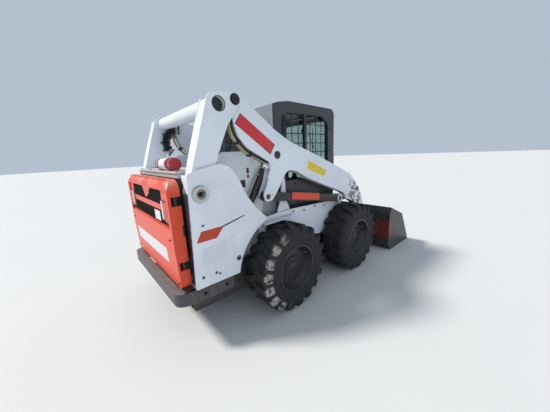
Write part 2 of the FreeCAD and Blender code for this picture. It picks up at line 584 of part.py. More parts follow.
def tail_brackets():
    """Hinge arms with pins, from the right-hand upright into the tailgate."""
    hx, hy = TAIL_HINGE
    root_x = FRAME_REAR_X + 10.0
    inner_y = -UPRIGHT_Y + UPRIGHT_PLATE
    half = TAIL_HINGE_TALL / 2.0
    reach = TAIL_KNUCKLE_TALL - 2.0
    shapes = []
    for z in TAIL_HINGE_HEIGHTS:
        shapes.append(slab([(hx - 4.0, hy + 10.0, 0), (hx + 6.0, hy - 12.0, 0), (root_x, -UPRIGHT_Y, 0),
                            (root_x, inner_y, 0), (FRAME_REAR_X - 10.0, inner_y, 0)], "plan", z - half, z + half))
        shapes.append(Part.makeCylinder(TAIL_HINGE_RADIUS, TAIL_HINGE_TALL, vec(hx, hy, z - half)))
        shapes.append(Part.makeCylinder(TAIL_HINGE_PIN, TAIL_HINGE_TALL + 2.0 * reach, vec(hx, hy, z - half - reach)))
    return shapes


def cab_lugs():
    """Right-hand lug pair and pin that carry the tilting cab."""
    px, pz = CAB_PIVOT
    r = CAB_PIVOT_RADIUS
    foot = CHAINCASE_TOP_Z - OVERCUT
    outline = [(px - r, pz, 0), (px - r, pz + r, 18), (px + r, pz + r, 18), (px + 31.0, pz, 0),
               (px + 31.0, foot, 0), (px - 30.0, foot, 0)]
    plates = [right_slab(outline, CAB_PIVOT_Y + step, CAB_PIVOT_Y + step + 14.7) for step in (-25.0, 10.3)]
    return plates + [right_rod(CAB_PIVOT, CAB_PIVOT_PIN, CAB_PIVOT_Y - 24.0, CAB_PIVOT_Y + 24.0)]


def cover_lugs():
    """Right-hand lug pair and pin that carry the engine cover."""
    hx, hz = COVER_HINGE
    half = COVER_HINGE_WIDE / 2.0 + SEAT_GAP
    outline = [(hx + 26.0, UPRIGHT_TOP_Z - OVERCUT, 0), (hx + 14.0, hz + 2.0, 12), (hx - 12.0, hz + 12.0, 10),
               (hx - 12.0, UPRIGHT_TOP_Z - 10.0, 0)]
    plates = [right_slab(outline, COVER_HINGE_Y + step, COVER_HINGE_Y + step + 14.0) for step in (-half - 14.0, half)]
    return plates + [right_rod(COVER_HINGE, COVER_HINGE_PIN, COVER_HINGE_Y - half - 2.0, COVER_HINGE_Y + half + 2.0)]


def cylinder_foot():
    """Outer lug and pin of the lift cylinder, on a bracket beside the chaincase."""
    bx, bz = LIFT_BASE
    foot = CHAINCASE_TOP_Z - 20.0
    inner, outer = EYE_OUTER_Y + 3.0, EYE_OUTER_Y + 15.0
    lug = right_slab([(bx - 80.0, foot, 0), (bx - 46.0, bz + 40.0, 40), (bx + 46.0, bz + 40.0, 40),
                      (bx + 80.0, foot, 0)], inner, outer)
    bracket = right_box(bx - 80.0, bx + 80.0, FRAME_HALF - OVERCUT, outer, foot - 20.0, foot)
    pin = right_rod(LIFT_BASE, LIFT_PIN_RADIUS, TOWER_INNER_Y - 6.0, outer)
    return [lug, bracket, pin]


def frame_side():
    """Right half of the frame: chaincase, upright, door jamb, cab sill and cylinder foot."""
    inner = UPRIGHT_Y - UPRIGHT_PLATE
    case = right_box(CHAINCASE_REAR_X, FRAME_FRONT_X, FRAME_HALF - CHAINCASE_WIDTH, FRAME_HALF,
                     FRAME_BOTTOM_Z, CHAINCASE_TOP_Z)
    upright = right_slab([(FRAME_REAR_X, FRAME_BOTTOM_Z, 0), (FRAME_REAR_X, UPRIGHT_TOP_Z, 0),
                          (UPRIGHT_NOSE_X, UPRIGHT_TOP_Z, 0), (UPRIGHT_NOSE_X, UPRIGHT_TOP_Z - 50.0, 20),
                          (UPRIGHT_FRONT_X, 1000.0, 80), (UPRIGHT_FRONT_X, FRAME_BOTTOM_Z, 0)], inner, UPRIGHT_Y)
    jamb = right_box(JAMB_X, JAMB_X + 14.0, JAMB_HALF - 38.0, JAMB_HALF, PANEL_BOTTOM_Z + 15.0, JAMB_TOP_Z)
    web = right_box(JAMB_X + 13.0, JAMB_X + 25.0, inner, JAMB_HALF - 28.0, PANEL_BOTTOM_Z + 15.0, JAMB_WEB_TOP_Z)
    sill = right_box(CAB_PIVOT[0] + 30.0, CAB_FRONT_X - 15.0, CAB_HALF - SILL_WIDTH, CAB_HALF,
                     CHAINCASE_TOP_Z - OVERCUT, CAB_BOTTOM_Z - SEAT_GAP)
    return [case, upright, jamb, web, sill] + cab_lugs() + cover_lugs() + cylinder_foot()


def main_frame():
    full = FRAME_HALF
    pieces = both(frame_side()) + tail_brackets()
    pieces.append(box(FRAME_REAR_X, FRAME_FRONT_X, -full, full, FRAME_BOTTOM_Z, FRAME_BOTTOM_Z + BELLY_PLATE))
    pieces.append(box(FRAME_FRONT_X - BELLY_PLATE, FRAME_FRONT_X, -full, full, FRAME_BOTTOM_Z, FRAME_FRONT_Z))
    pieces.append(box(STEP_REAR_X, FRAME_FRONT_X, -full + CHAINCASE_WIDTH, full - CHAINCASE_WIDTH,
                      FRAME_FRONT_Z - BELLY_PLATE, FRAME_FRONT_Z))
    pieces.append(box(UPRIGHT_FRONT_X, UPRIGHT_FRONT_X + UPRIGHT_PLATE, -full, full, FRAME_BOTTOM_Z, 420.0))
    pieces.append(box(UPRIGHT_NOSE_X - BRIDGE_DEPTH, UPRIGHT_NOSE_X, -UPRIGHT_Y, UPRIGHT_Y,
                      UPRIGHT_TOP_Z - BRIDGE_TALL, UPRIGHT_TOP_Z))
    whole = join(pieces)
    room = right_rod(LIFT_BASE, BARREL_RADIUS + 12.0, EYE_INNER_Y - 2.0, EYE_OUTER_Y + 2.0)
    room = room.cut(right_rod(LIFT_BASE, LIFT_PIN_RADIUS, EYE_INNER_Y - 3.0, EYE_OUTER_Y + 3.0))
    for shape in both([room]):
        whole = whole.cut(shape)
    save("main_frame", [whole])


def axles():
    stubs = [right_rod((x, AXLE_HEIGHT), AXLE_RADIUS, FRAME_HALF, AXLE_END_Y) for x in (0.0, FRONT_AXLE_X)]
    save("axle_hubs", both(stubs))


def engine():
    floor = FRAME_BOTTOM_Z + BELLY_PLATE + SEAT_GAP
    top = UPRIGHT_TOP_Z - 160.0
    block = slab([(-600.0, floor, 0), (-600.0, top, 30), (-400.0, top, 30), (-220.0, 860.0, 30), (-220.0, floor, 0)],
                 "side", -ENGINE_HALF, ENGINE_HALF)
    save("engine_block", [block])
    half = UPRIGHT_Y - UPRIGHT_PLATE - SEAT_GAP
    core = box(-800.0, -640.0, -COOLER_HALF, COOLER_HALF, 700.0, UPRIGHT_TOP_Z - 20.0)
    feet = box(-790.0, -660.0, -half, half, 660.0, 701.0)
    save("cooler", [core.fuse(feet)])


def panel_skin():
    """Side panel plate with the wheel arch cut out."""
    arch_top = PANEL_OUTLINE[-1]
    x_low = -ARCH_RADIUS - 10.0
    plate = right_slab(PANEL_OUTLINE + ((-520.0, PANEL_BOTTOM_Z, 0),), PANEL_INNER_Y, PANEL_HALF)
    corner = right_slab([(x_low, PANEL_BOTTOM_Z, 0), (x_low, arch_top[1], 0), arch_top,
                         (arch_top[0], PANEL_BOTTOM_Z, 0)], PANEL_INNER_Y, PANEL_HALF)
    arch = right_rod((0.0, AXLE_HEIGHT), ARCH_RADIUS, PANEL_INNER_Y - OVERCUT, PANEL_HALF + OVERCUT)
    return plate.fuse(corner).cut(arch).removeSplitter()


def side_panel():
    """Right-hand rear side panel with its rear flange, floor and pivot boss."""
    x0 = PANEL_REAR_X
    low, high = PANEL_BOTTOM_Z + 6.0, PANEL_OUTLINE[1][1] - 8.0
    slope = right_slab([(x0 - 5.0, low, 0), (x0 + 26.0, high, 0), (x0 + 34.0, high, 0), (x0 + 3.0, low, 0)],
                       CAB_HALF, PANEL_HALF)
    gusset = slope.common(slab(GUSSET_OUTLINE, "rear", x0 - 60.0, x0 + 60.0))
    floor = right_box(x0, CHAINCASE_REAR_X - 2.0, UPRIGHT_Y, PANEL_HALF, PANEL_BOTTOM_Z, PANEL_BOTTOM_Z + PANEL_PLATE)
    boss = right_rod(LINK_PIVOT, BOSS_RADIUS, PANEL_INNER_Y, PANEL_HALF + BOSS_HEIGHT)
    whole = join([panel_skin(), gusset, floor, boss])
    holes = [(TIE_DOWN, TIE_DOWN_RADIUS), (LINK_PIVOT, LINK_PIN_RADIUS + PIN_GAP)]
    holes += [(centre, PANEL_HOLE_RADIUS) for centre in PANEL_HOLES]
    for centre, radius in holes:
        whole = whole.cut(right_rod(centre, radius, PANEL_INNER_Y - OVERCUT, PANEL_HALF + BOSS_HEIGHT + OVERCUT))
    return whole


def tower():
    """White plate between the cab and the lift cylinder, on a floor plate over the chaincase."""
    plate = right_slab(TOWER_OUTLINE, TOWER_INNER_Y, TOWER_OUTER_Y)
    bridge = right_box(UPRIGHT_NOSE_X - BRIDGE_DEPTH - 3.0, UPRIGHT_NOSE_X + 3.0, CAB_HALF, EYE_INNER_Y,
                       UPRIGHT_TOP_Z - BRIDGE_TALL - 3.0, UPRIGHT_TOP_Z + 3.0)
    pin = right_rod(LIFT_BASE, LIFT_PIN_RADIUS + PIN_GAP, CAB_HALF, EYE_INNER_Y)
    floor = right_box(WALL_OUTLINE[-1][0], TOWER_OUTLINE[-1][0] + 50.0, TOWER_INNER_Y, WALL_Y,
                      CHAINCASE_TOP_Z + SEAT_GAP, CHAINCASE_TOP_Z + SEAT_GAP + WALL_PLATE)
    return plate.cut(bridge).cut(pin).fuse(floor)


def lower_body():
    """Right-hand fender wall with its shelf, cylinder tower, post and front pivot lug."""
    inner = WALL_Y - WALL_PLATE
    wall = right_slab(WALL_OUTLINE, inner, WALL_Y)
    shelf = slab(SHELF_OUTLINE, "plan", SHELF_Z, SHELF_Z + WALL_PLATE)
    rail_top = CHAINCASE_TOP_Z - 22.0
    x0, x1 = WALL_OUTLINE[0][0], WALL_FRONT_X - 60.0
    rail = right_box(x0, x1, FRAME_HALF, WALL_Y, rail_top - WALL_PLATE, rail_top)
    skirt = right_box(x0, x1, inner, WALL_Y, rail_top - WALL_PLATE, CHAINCASE_TOP_Z + OVERCUT)
    pivot_lug = right_slab(PIVOT_LUG_OUTLINE, WALL_Y - 30.0, WALL_Y)
    post = right_slab(POST_OUTLINE, inner - 22.0, inner - 10.0)
    post_foot = right_box(POST_OUTLINE[0][0], POST_OUTLINE[-1][0], inner - 11.0, inner + OVERCUT,
                          WALL_TOP_Z - 60.0, WALL_TOP_Z - 10.0)
    whole = join([wall, shelf, rail, skirt, pivot_lug, post, post_foot, tower()])
    return whole.cut(right_rod(CONTROL_FRONT, CONTROL_PIN_RADIUS + PIN_GAP, WALL_Y - 60.0, WALL_Y + 60.0))


def bodywork():
    for node, shape in (("side_panel", side_panel()), ("lower_body", lower_body())):
        save(node + "_right", [shape])
        save(node + "_left", [mirrored(shape)])
    link_pin = right_rod(LINK_PIVOT, LINK_PIN_RADIUS, UPRIGHT_Y + SEAT_GAP, PANEL_HALF + BOSS_HEIGHT - 8.0)
    control_pin = right_rod(CONTROL_FRONT, CONTROL_PIN_RADIUS, WALL_Y - 30.0, CONTROL_OUTER_Y + PANEL_PLATE)
    save("frame_pins", both([link_pin, control_pin]))


def bumper():
    x0 = -REAR_OVERHANG
    front = BUMPER_FRONT_X
    bent_x = x0 + 120.0
    outer = slab([(x0, -BUMPER_HALF + 40.0, 90), (x0, BUMPER_HALF - 40.0, 90), (bent_x, BUMPER_HALF, 60),
                  (front, BUMPER_HALF, 30), (front, -BUMPER_HALF, 30), (bent_x, -BUMPER_HALF, 60)],
                 "plan", BUMPER_BOTTOM_Z, BUMPER_TOP_Z)
    half = FRAME_HALF + SEAT_GAP
    inner = slab([(x0 + BUMPER_BAR, -half, 30), (x0 + BUMPER_BAR, half, 30), (front + BUMPER_BAR, half, 0),
                  (front + BUMPER_BAR, -half, 0)], "plan", BUMPER_BOTTOM_Z - OVERCUT, BUMPER_TOP_Z + OVERCUT)
    save("rear_bumper", [outer.cut(inner)])


# Tail end

def tail_shell():
    """Hollow rear door with a crowned top, a creased face and a shallow grille pocket."""
    x0, x1 = TAIL_REAR_X, TAIL_FRONT_X
    half, wall = TAIL_HALF, TAIL_WALL
    outline = [(-half, TAIL_BOTTOM_Z, 40), (-half, TAIL_TOP_Z, TAIL_CORNER), (half, TAIL_TOP_Z, TAIL_CORNER),
               (half, TAIL_BOTTOM_Z, 40)]
    inside = [(-half + wall, TAIL_BOTTOM_Z + wall, 20), (-half + wall, TAIL_TOP_Z - wall, 70),
              (half - wall, TAIL_TOP_Z - wall, 70), (half - wall, TAIL_BOTTOM_Z + wall, 20)]
    crown = slab([(x0 - OVERCUT, TAIL_TOP_Z - 74.0, 0), (x0, TAIL_TOP_Z - 74.0, 80),
                  (x0 + 40.0, TAIL_TOP_Z + OVERCUT, 60), (x0 - OVERCUT, TAIL_TOP_Z + OVERCUT, 0)],
                 "side", -half - OVERCUT, half + OVERCUT)
    crease = slab([(x0 - OVERCUT, CREASE_Z, 0), (x0 - OVERCUT, TAIL_BOTTOM_Z - OVERCUT, 0),
                   (x0 + CREASE_DEPTH, TAIL_BOTTOM_Z - OVERCUT, 0)], "side", -half - OVERCUT, half + OVERCUT)
    pocket = box(x0 - OVERCUT, x0 + POCKET_DEPTH, -POCKET_HALF, POCKET_HALF, POCKET_BOTTOM_Z, POCKET_TOP_Z)
    tongue = slab(TONGUE, "rear", x0 + 3.0, x0 + wall)
    shell = slab(outline, "rear", x0, x1)
    for shape in (slab(inside, "rear", x0 + wall, x1 + OVERCUT), crown, crease, pocket,
                  slab(UPPER_GRILLE, "rear", x0, x0 + wall + OVERCUT), slab(LOWER_GRILLE, "rear", x0, x0 + wall + OVERCUT)):
        shell = shell.cut(shape)
    return shell.fuse(tongue)


def tailgate():
    shell = tail_shell()
    hx, hy = TAIL_HINGE
    half = TAIL_HINGE_TALL / 2.0
    for z in TAIL_HINGE_HEIGHTS:
        shell = shell.cut(box(TAIL_REAR_X + TAIL_WALL, TAIL_FRONT_X + OVERCUT, -TAIL_HALF - OVERCUT, hy + 30.0,
                              z - half - 3.0, z + half + 3.0))
        for low in (z - half - SEAT_GAP - TAIL_KNUCKLE_TALL, z + half + SEAT_GAP):
            high = low + TAIL_KNUCKLE_TALL
            knuckle = Part.makeCylinder(TAIL_HINGE_RADIUS, TAIL_KNUCKLE_TALL, vec(hx, hy, low))
            shell = shell.fuse(knuckle).fuse(box(hx - 10.0, hx + 10.0, -TAIL_HALF + 4.0, hy, low, high))
        shell = shell.cut(Part.makeCylinder(TAIL_HINGE_PIN + PIN_GAP, TAIL_HINGE_TALL + 2.0 * TAIL_KNUCKLE_TALL,
                                            vec(hx, hy, z - half - TAIL_KNUCKLE_TALL)))
    save("tailgate", [shell.removeSplitter()])


def tail_details():
    """Louvred grille behind the openings and the lamps set in the pocket."""
    back = TAIL_REAR_X + TAIL_WALL + SEAT_GAP
    shapes = [box(back, back + 8.0, -POCKET_HALF, POCKET_HALF, POCKET_BOTTOM_Z - 5.0, POCKET_TOP_Z + 5.0)]
    for low, high, spans in LOUVRES:
        for i in range(int((high - low) / LOUVRE_PITCH) + 1):
            z = low + i * LOUVRE_PITCH
            shapes += [box(back - 8.0, back + OVERCUT, y0, y1, z, z + LOUVRE_TALL) for y0, y1 in spans]
    save("tailgate_grille", [shapes[0].multiFuse(shapes[1:]).removeSplitter()])
    lamp = slab([(-LAMP_OUTER_Y, LAMP_Z[0], 14), (-LAMP_OUTER_Y, LAMP_Z[1], 14), (-LAMP_INNER_Y, LAMP_Z[1], 14),
                 (-LAMP_INNER_Y, LAMP_Z[0], 14)], "rear", TAIL_REAR_X, TAIL_REAR_X + POCKET_DEPTH - SEAT_GAP)
    save("tail_lamps", both([lamp]))


def deck_piece(x0, x1):
    """Flat lid with a skirt underneath, between two levels along the machine."""
    half, skirt = DECK_HALF, DECK_HALF - 2.0
    under = DECK_Z - DECK_PLATE
    plate = slab([(x0, -half, 10), (x0, half, 10), (x1, half, 10), (x1, -half, 10)], "plan", under, DECK_Z)
    rest = box(x0 + 10.0, x1 - 10.0, -skirt, skirt, UPRIGHT_TOP_Z + SEAT_GAP, under)
    hollow = box(x0 + 20.0, x1 - 20.0, -skirt + 10.0, skirt - 10.0, UPRIGHT_TOP_Z, under)
    return plate.fuse(rest.cut(hollow))


def engine_cover():
    cover = deck_piece(DECK_SPLIT_X + DECK_SEAM, DECK_FRONT_X - 24.0)
    hx, hz = COVER_HINGE
    for sign in (1.0, -1.0):
        low = sign * COVER_HINGE_Y - COVER_HINGE_WIDE / 2.0
        high = low + COVER_HINGE_WIDE
        cover = cover.fuse(rod_y(COVER_HINGE, COVER_HINGE_RADIUS, low, high))
        cover = cover.fuse(box(DECK_FRONT_X - 40.0, hx, low, high, hz - 6.0, hz + 10.0))
        cover = cover.cut(rod_y(COVER_HINGE, COVER_HINGE_PIN + PIN_GAP, low - OVERCUT, high + OVERCUT))
    for i in range(VENT_SLOTS):
        x = DECK_SPLIT_X + 30.0 + i * VENT_PITCH
        for y in (-VENT_HALF, 40.0):
            cover = cover.cut(box(x, x + VENT_WIDTH, y, y + VENT_HALF - 40.0, DECK_Z - DECK_PLATE - OVERCUT,
                                  DECK_Z + OVERCUT))
    save("engine_cover", [cover.removeSplitter()])


def extinguisher():
    z = DECK_Z + BOTTLE_RADIUS + 4.0
    y0, y1 = BOTTLE_ENDS
    bottle = Part.makeCylinder(BOTTLE_RADIUS, y1 - y0, vec(BOTTLE_X, y0, z), vec(0, 1, 0))
    neck = Part.makeCone(BOTTLE_RADIUS, 18.0, 30.0, vec(BOTTLE_X, y1, z), vec(0, 1, 0))
    head = Part.makeCylinder(18.0, BOTTLE_NECK_Y - y1 - 29.0, vec(BOTTLE_X, y1 + 29.0, z), vec(0, 1, 0))
    cradles = [box(BOTTLE_X - 36.0, BOTTLE_X + 36.0, y, y + 40.0, DECK_Z + SEAT_GAP, z - 20.0)
               for y in (y0 + 60.0, y1 - 100.0)]
    save("fire_extinguisher", [join([bottle, neck, head] + cradles)])


def deck():
    save("rear_deck", [deck_piece(DECK_REAR_X, DECK_SPLIT_X)])
    engine_cover()
    extinguisher()


# Cab

def roof_line(x_rear, drop):
    """Corners of the cab's back and roof edge, lowered by drop."""
    return [(x_rear, CAB_EAVES_Z - drop, 25), (200.0, CAB_TOP_Z - 21.0 - drop, 200), (351.0, CAB_TOP_Z - drop, 300),
            (CAB_INNER_FRONT_X, CAB_BROW_Z - drop, 60)]


def cab_block():
    outline = [(CAB_REAR_X, CAB_BOTTOM_Z, 20)] + roof_line(CAB_REAR_X, 0.0)
    outline += [(CAB_FRONT_X + 6.0, CAB_TOP_Z - 66.0, 40), (CAB_FRONT_X, CAB_BOTTOM_Z, 20)]
    return slab(outline, "side", -CAB_HALF, CAB_HALF)


def cab_hollow():
    floor = CAB_BOTTOM_Z + CAB_FLOOR
    x_rear = CAB_REAR_X + CAB_WALL
    outline = [(x_rear, floor, 0)] + roof_line(x_rear, ROOF_SHEET) + [(CAB_INNER_FRONT_X, floor, 0)]
    return slab(outline, "side", -CAB_HALF + CAB_WALL, CAB_HALF - CAB_WALL)


def window_outlines():
    """Rear and front side windows, either side of the divider."""
    low, high = WINDOW_BOTTOM_Z, WINDOW_TOP_Z
    x0, x1, x2, x3 = 236.0, DIVIDER[0], DIVIDER[1], CAB_FRONT_X - 117.0
    rear = [(x0, low, 40), (x0, high - 40.0, 60), (330.0, high, 60), (x1, high, 20), (x1, low, 20)]
    front = [(x2, low, 20), (x2, high, 20), (x3 - 118.0, high, 90), (x3, high - 80.0, 60), (x3, low, 40)]
    return rear, front


def upright_frame(half, bottom, top, corner, x0, x1):
    """Rounded block seen from the front, the same about the middle plane."""
    return slab([(-half, bottom, corner), (-half, top, corner), (half, top, corner), (half, bottom, corner)],
                "rear", x0, x1)


def cab_shell():
    shell = cab_block().cut(cab_hollow())
    for outline in window_outlines():
        shell = shell.cut(slab(outline, "side", -CAB_HALF - OVERCUT, CAB_HALF + OVERCUT))
    shell = shell.cut(upright_frame(DOOR_HALF + DOOR_GAP, DOOR_BOTTOM_Z - DOOR_GAP, DOOR_TOP_Z + DOOR_GAP, 45,
                                    CAB_INNER_FRONT_X - 90.0, CAB_FRONT_X + 160.0))
    return shell.cut(upright_frame(REAR_WINDOW_HALF, REAR_WINDOW_BOTTOM_Z, REAR_WINDOW_TOP_Z, 50,
                                   CAB_REAR_X - OVERCUT, CAB_REAR_X + CAB_WALL + OVERCUT))


def rear_ring():
    """Raised frame round the rear window."""
    x0, x1 = CAB_REAR_X - REAR_RING, CAB_REAR_X + OVERCUT
    low, high = REAR_WINDOW_BOTTOM_Z, REAR_WINDOW_TOP_Z
    ring = upright_frame(REAR_WINDOW_HALF + 30.0, low - 18.0, high + 22.0, 60, x0, x1)
    return ring.cut(upright_frame(REAR_WINDOW_HALF, low, high, 50, x0 - OVERCUT, x1 + OVERCUT))


def cab_rear(shell):
    """Rear section of the cab with its window frame, side slots and tilt lugs."""
    wide = CAB_HALF + 100.0
    rear = shell.common(box(CAB_REAR_X - 200.0, CAB_SPLIT_X, -wide, wide, 0.0, CAB_TOP_Z + 100.0)).fuse(rear_ring())
    px, pz = CAB_PIVOT
    r = CAB_PIVOT_RADIUS
    roof = CAB_BOTTOM_Z + OVERCUT
    lug = right_slab([(px - r, roof, 0), (px - r, pz - r, 18), (px + r, pz - r, 18), (px + r, roof, 0)],
                     CAB_PIVOT_Y - 10.0, CAB_PIVOT_Y + 10.0)
    bore = right_rod(CAB_PIVOT, CAB_PIVOT_PIN + PIN_GAP, CAB_PIVOT_Y - 11.0, CAB_PIVOT_Y + 11.0)
    slot = right_box(REAR_SLOT[0], REAR_SLOT[1], CAB_HALF - REAR_SLOT_DEPTH, CAB_HALF + OVERCUT,
                     CAB_BOTTOM_Z + 340.0, CAB_EAVES_Z - 60.0)
    for shape in both([lug]):
        rear = rear.fuse(shape)
    for shape in both([bore, slot]):
        rear = rear.cut(shape)
    return rear


def head_lamps():
    x0, x1, inner, outer, z0, z1 = HEAD_LAMP
    return both([right_box(x0, x1, inner, outer, z0, z1)])


def grab_handle():
    """Upright rail on the right-hand front post."""
    y = -(CAB_HALF - 28.0)
    x = CAB_FRONT_X + HANDLE_STAND
    low, high = HANDLE_Z
    shapes = [Part.makeCylinder(HANDLE_RADIUS, high - low, vec(x, y, low), vec(0, 0, 1))]
    for z in (low + 20.0, high - 20.0):
        shapes.append(Part.makeCylinder(HANDLE_RADIUS, HANDLE_STAND + 10.0, vec(x - HANDLE_STAND - 10.0, y, z),
                                        vec(1, 0, 0)))
    return shapes


def door_knuckle(z, y0, y1, x0):
    """Knuckle on the door's hinge line with a leaf on the surface from y0 to y1."""
    hx, hy = DOOR_HINGE
    high = z + DOOR_HINGE_TALL
    front = hx - DOOR_HINGE_RADIUS + 4.0
    barrel = Part.makeCylinder(DOOR_HINGE_RADIUS, DOOR_HINGE_TALL, vec(hx, hy, z))
    pad = box(x0, front, y0, y1, z, high)
    bridge = box(front - 5.5, front, min(y0, hy - 4.0), max(y1, hy + 4.0), z, high)
    return join([barrel, pad, bridge])


def cab_body():
    shell = cab_shell()
    wide = CAB_HALF + 100.0
    front = shell.common(box(CAB_SPLIT_X + SEAT_GAP, CAB_FRONT_X + 300.0, -wide, wide, 0.0, CAB_TOP_Z + 100.0))
    hx, hy = DOOR_HINGE
    for z in DOOR_HINGE_HEIGHTS:
        front = front.fuse(door_knuckle(z, DOOR_HALF + 20.0, CAB_HALF - 8.0, CAB_FRONT_X - 8.0))
        front = front.fuse(Part.makeCylinder(DOOR_HINGE_PIN, DOOR_HINGE_TALL * 2.0, vec(hx, hy, z)))
    save("cab_frame", [join([front] + head_lamps() + grab_handle())])
    save("cab_rear", [cab_rear(shell).removeSplitter()])


def screen():
    """Right-hand window guard: a thin plate with a grid of openings, behind the pane."""
    outer = CAB_HALF - CAB_WALL - 2.0 * SEAT_GAP - GLASS
    x0, x1 = 236.0 - PANE_LAP, CAB_FRONT_X - 117.0 + PANE_LAP
    z0, z1 = WINDOW_BOTTOM_Z - PANE_LAP, WINDOW_TOP_Z + PANE_LAP / 2.0
    wide = (x1 - x0 - SCREEN_BAR) / SCREEN_COLUMNS
    tall = (z1 - z0 - SCREEN_BAR) / SCREEN_ROWS
    holes = []
    for i in range(SCREEN_COLUMNS):
        for j in range(SCREEN_ROWS):
            x, z = x0 + SCREEN_BAR + i * wide, z0 + SCREEN_BAR + j * tall
            holes.append(right_box(x, x + wide - SCREEN_BAR, outer - SCREEN_PLATE - OVERCUT, outer + OVERCUT,
                                   z, z + tall - SCREEN_BAR))
    return right_box(x0, x1, outer - SCREEN_PLATE, outer, z0, z1).cut(Part.makeCompound(holes))


def cab_glass():
    outer = CAB_HALF - CAB_WALL - SEAT_GAP
    x0, x1 = 236.0 - PANE_LAP, CAB_FRONT_X - 117.0 + PANE_LAP
    z0, z1 = WINDOW_BOTTOM_Z - PANE_LAP, WINDOW_TOP_Z + PANE_LAP / 2.0
    pane = right_slab([(x0, z0, 40), (x0, z1, 60), (x1, z1, 90), (x1, z0, 40)], outer - GLASS, outer)
    save("side_windows", both([pane]))
    save("window_screens", both([screen()]))
    x_pane = CAB_REAR_X + CAB_WALL + SEAT_GAP
    save("rear_window", [upright_frame(REAR_WINDOW_HALF + PANE_LAP, REAR_WINDOW_BOTTOM_Z - PANE_LAP,
                                       REAR_WINDOW_TOP_Z + PANE_LAP, 60, x_pane, x_pane + GLASS)])


def seat(floor):
    top = floor + 330.0
    half = SEAT_HALF - 10.0
    base = box(120.0, 560.0, -half, half, floor, top)
    cushion = slab([(110.0, top, 20), (110.0, top + 110.0, 30), (600.0, top + 110.0, 50), (600.0, top, 20)],
                   "side", -SEAT_HALF, SEAT_HALF)
    back = slab([(80.0, top + 90.0, 20), (20.0, SEAT_TOP_Z, 50), (120.0, SEAT_TOP_Z, 50), (210.0, top + 90.0, 20)],
                "side", -half, half)
    save("seat", [join([base, cushion, back])])


def controls(floor):
    """Lever consoles either side of the seat, joined by the lap bar."""
    top = floor + 420.0
    shapes = []
    for sign in (1.0, -1.0):
        y = sign * LEVER_Y
        shapes.append(box(400.0, 620.0, y - 50.0, y + 50.0, floor, top))
        shapes.append(Part.makeCylinder(14.0, 150.0, vec(560.0, y, top), vec(0, 0, 1)))
        shapes.append(Part.makeCylinder(24.0, 110.0, vec(560.0, y, top + 120.0), vec(0, 0, 1)))
        shapes.append(Part.makeCylinder(16.0, 180.0, vec(440.0, y, top - OVERCUT), vec(0, 0, 1)))
    shapes.append(Part.makeCylinder(16.0, 2.0 * LEVER_Y, vec(440.0, -LEVER_Y, top + 165.0), vec(0, 1, 0)))
    save("controls", [join(shapes)])


def cab_door():
    x0 = CAB_FRONT_X - DOOR_THICKNESS + 6.0
    x1 = x0 + DOOR_THICKNESS
    door = upright_frame(DOOR_HALF, DOOR_BOTTOM_Z, DOOR_TOP_Z, 40, x0, x1)
    door = door.cut(upright_frame(DOOR_HALF - DOOR_FRAME, DOOR_BOTTOM_Z + DOOR_FRAME + 20.0, DOOR_TOP_Z - DOOR_FRAME,
                                  55, x0 - OVERCUT, x1 + OVERCUT))
    hx, hy = DOOR_HINGE
    for z in DOOR_HINGE_HEIGHTS:
        low = z + DOOR_HINGE_TALL + SEAT_GAP
        door = door.fuse(door_knuckle(low, DOOR_HALF - 40.0, DOOR_HALF - 2.0, x1 - OVERCUT))
        door = door.cut(Part.makeCylinder(DOOR_HINGE_PIN + PIN_GAP, DOOR_HINGE_TALL * 2.0, vec(hx, hy, z)))
    save("cab_door", [door])
    lap = DOOR_FRAME - PANE_LAP
    save("door_glass", [upright_frame(DOOR_HALF - lap, DOOR_BOTTOM_Z + lap + 20.0, DOOR_TOP_Z - lap, 55,
                                      x0 - SEAT_GAP - GLASS, x0 - SEAT_GAP)])


# Lift linkage

def rear_links():
    """Both rear links, each of two plates with webs between, joined by the cross tube."""
    outer, inner = LINK_OUTER_Y, LINK_INNER_Y
    side = [right_slab(LINK_OUTLINE, outer - LINK_PLATE, outer), right_slab(LINK_OUTLINE, inner, inner + LINK_PLATE),
            right_slab(LINK_WEB_OUTLINE, inner + 2.0, outer - 2.0), right_slab(LINK_TOP_WEB, inner + 2.0, outer - 2.0),
            right_rod(LINK_PIVOT, LINK_PIN_RADIUS + 20.0, inner, outer)]
    whole = join(both(side) + [rod_y(CROSS_TUBE, TUBE_RADIUS, -outer, outer)])
    for centre, radius in ((CROSS_TUBE, TUBE_BORE), (LINK_PIVOT, LINK_PIN_RADIUS + PIN_GAP)):
        whole = whole.cut(rod_y(centre, radius, -outer - OVERCUT, outer + OVERCUT))
    pins = both([right_rod(LINK_TOP, TOP_PIN_RADIUS, inner - 6.0, outer + 12.0)])
    for pin in pins:
        whole = whole.cut(pin)
    save("rear_links", [whole])
    save("link_top_pins", pins)


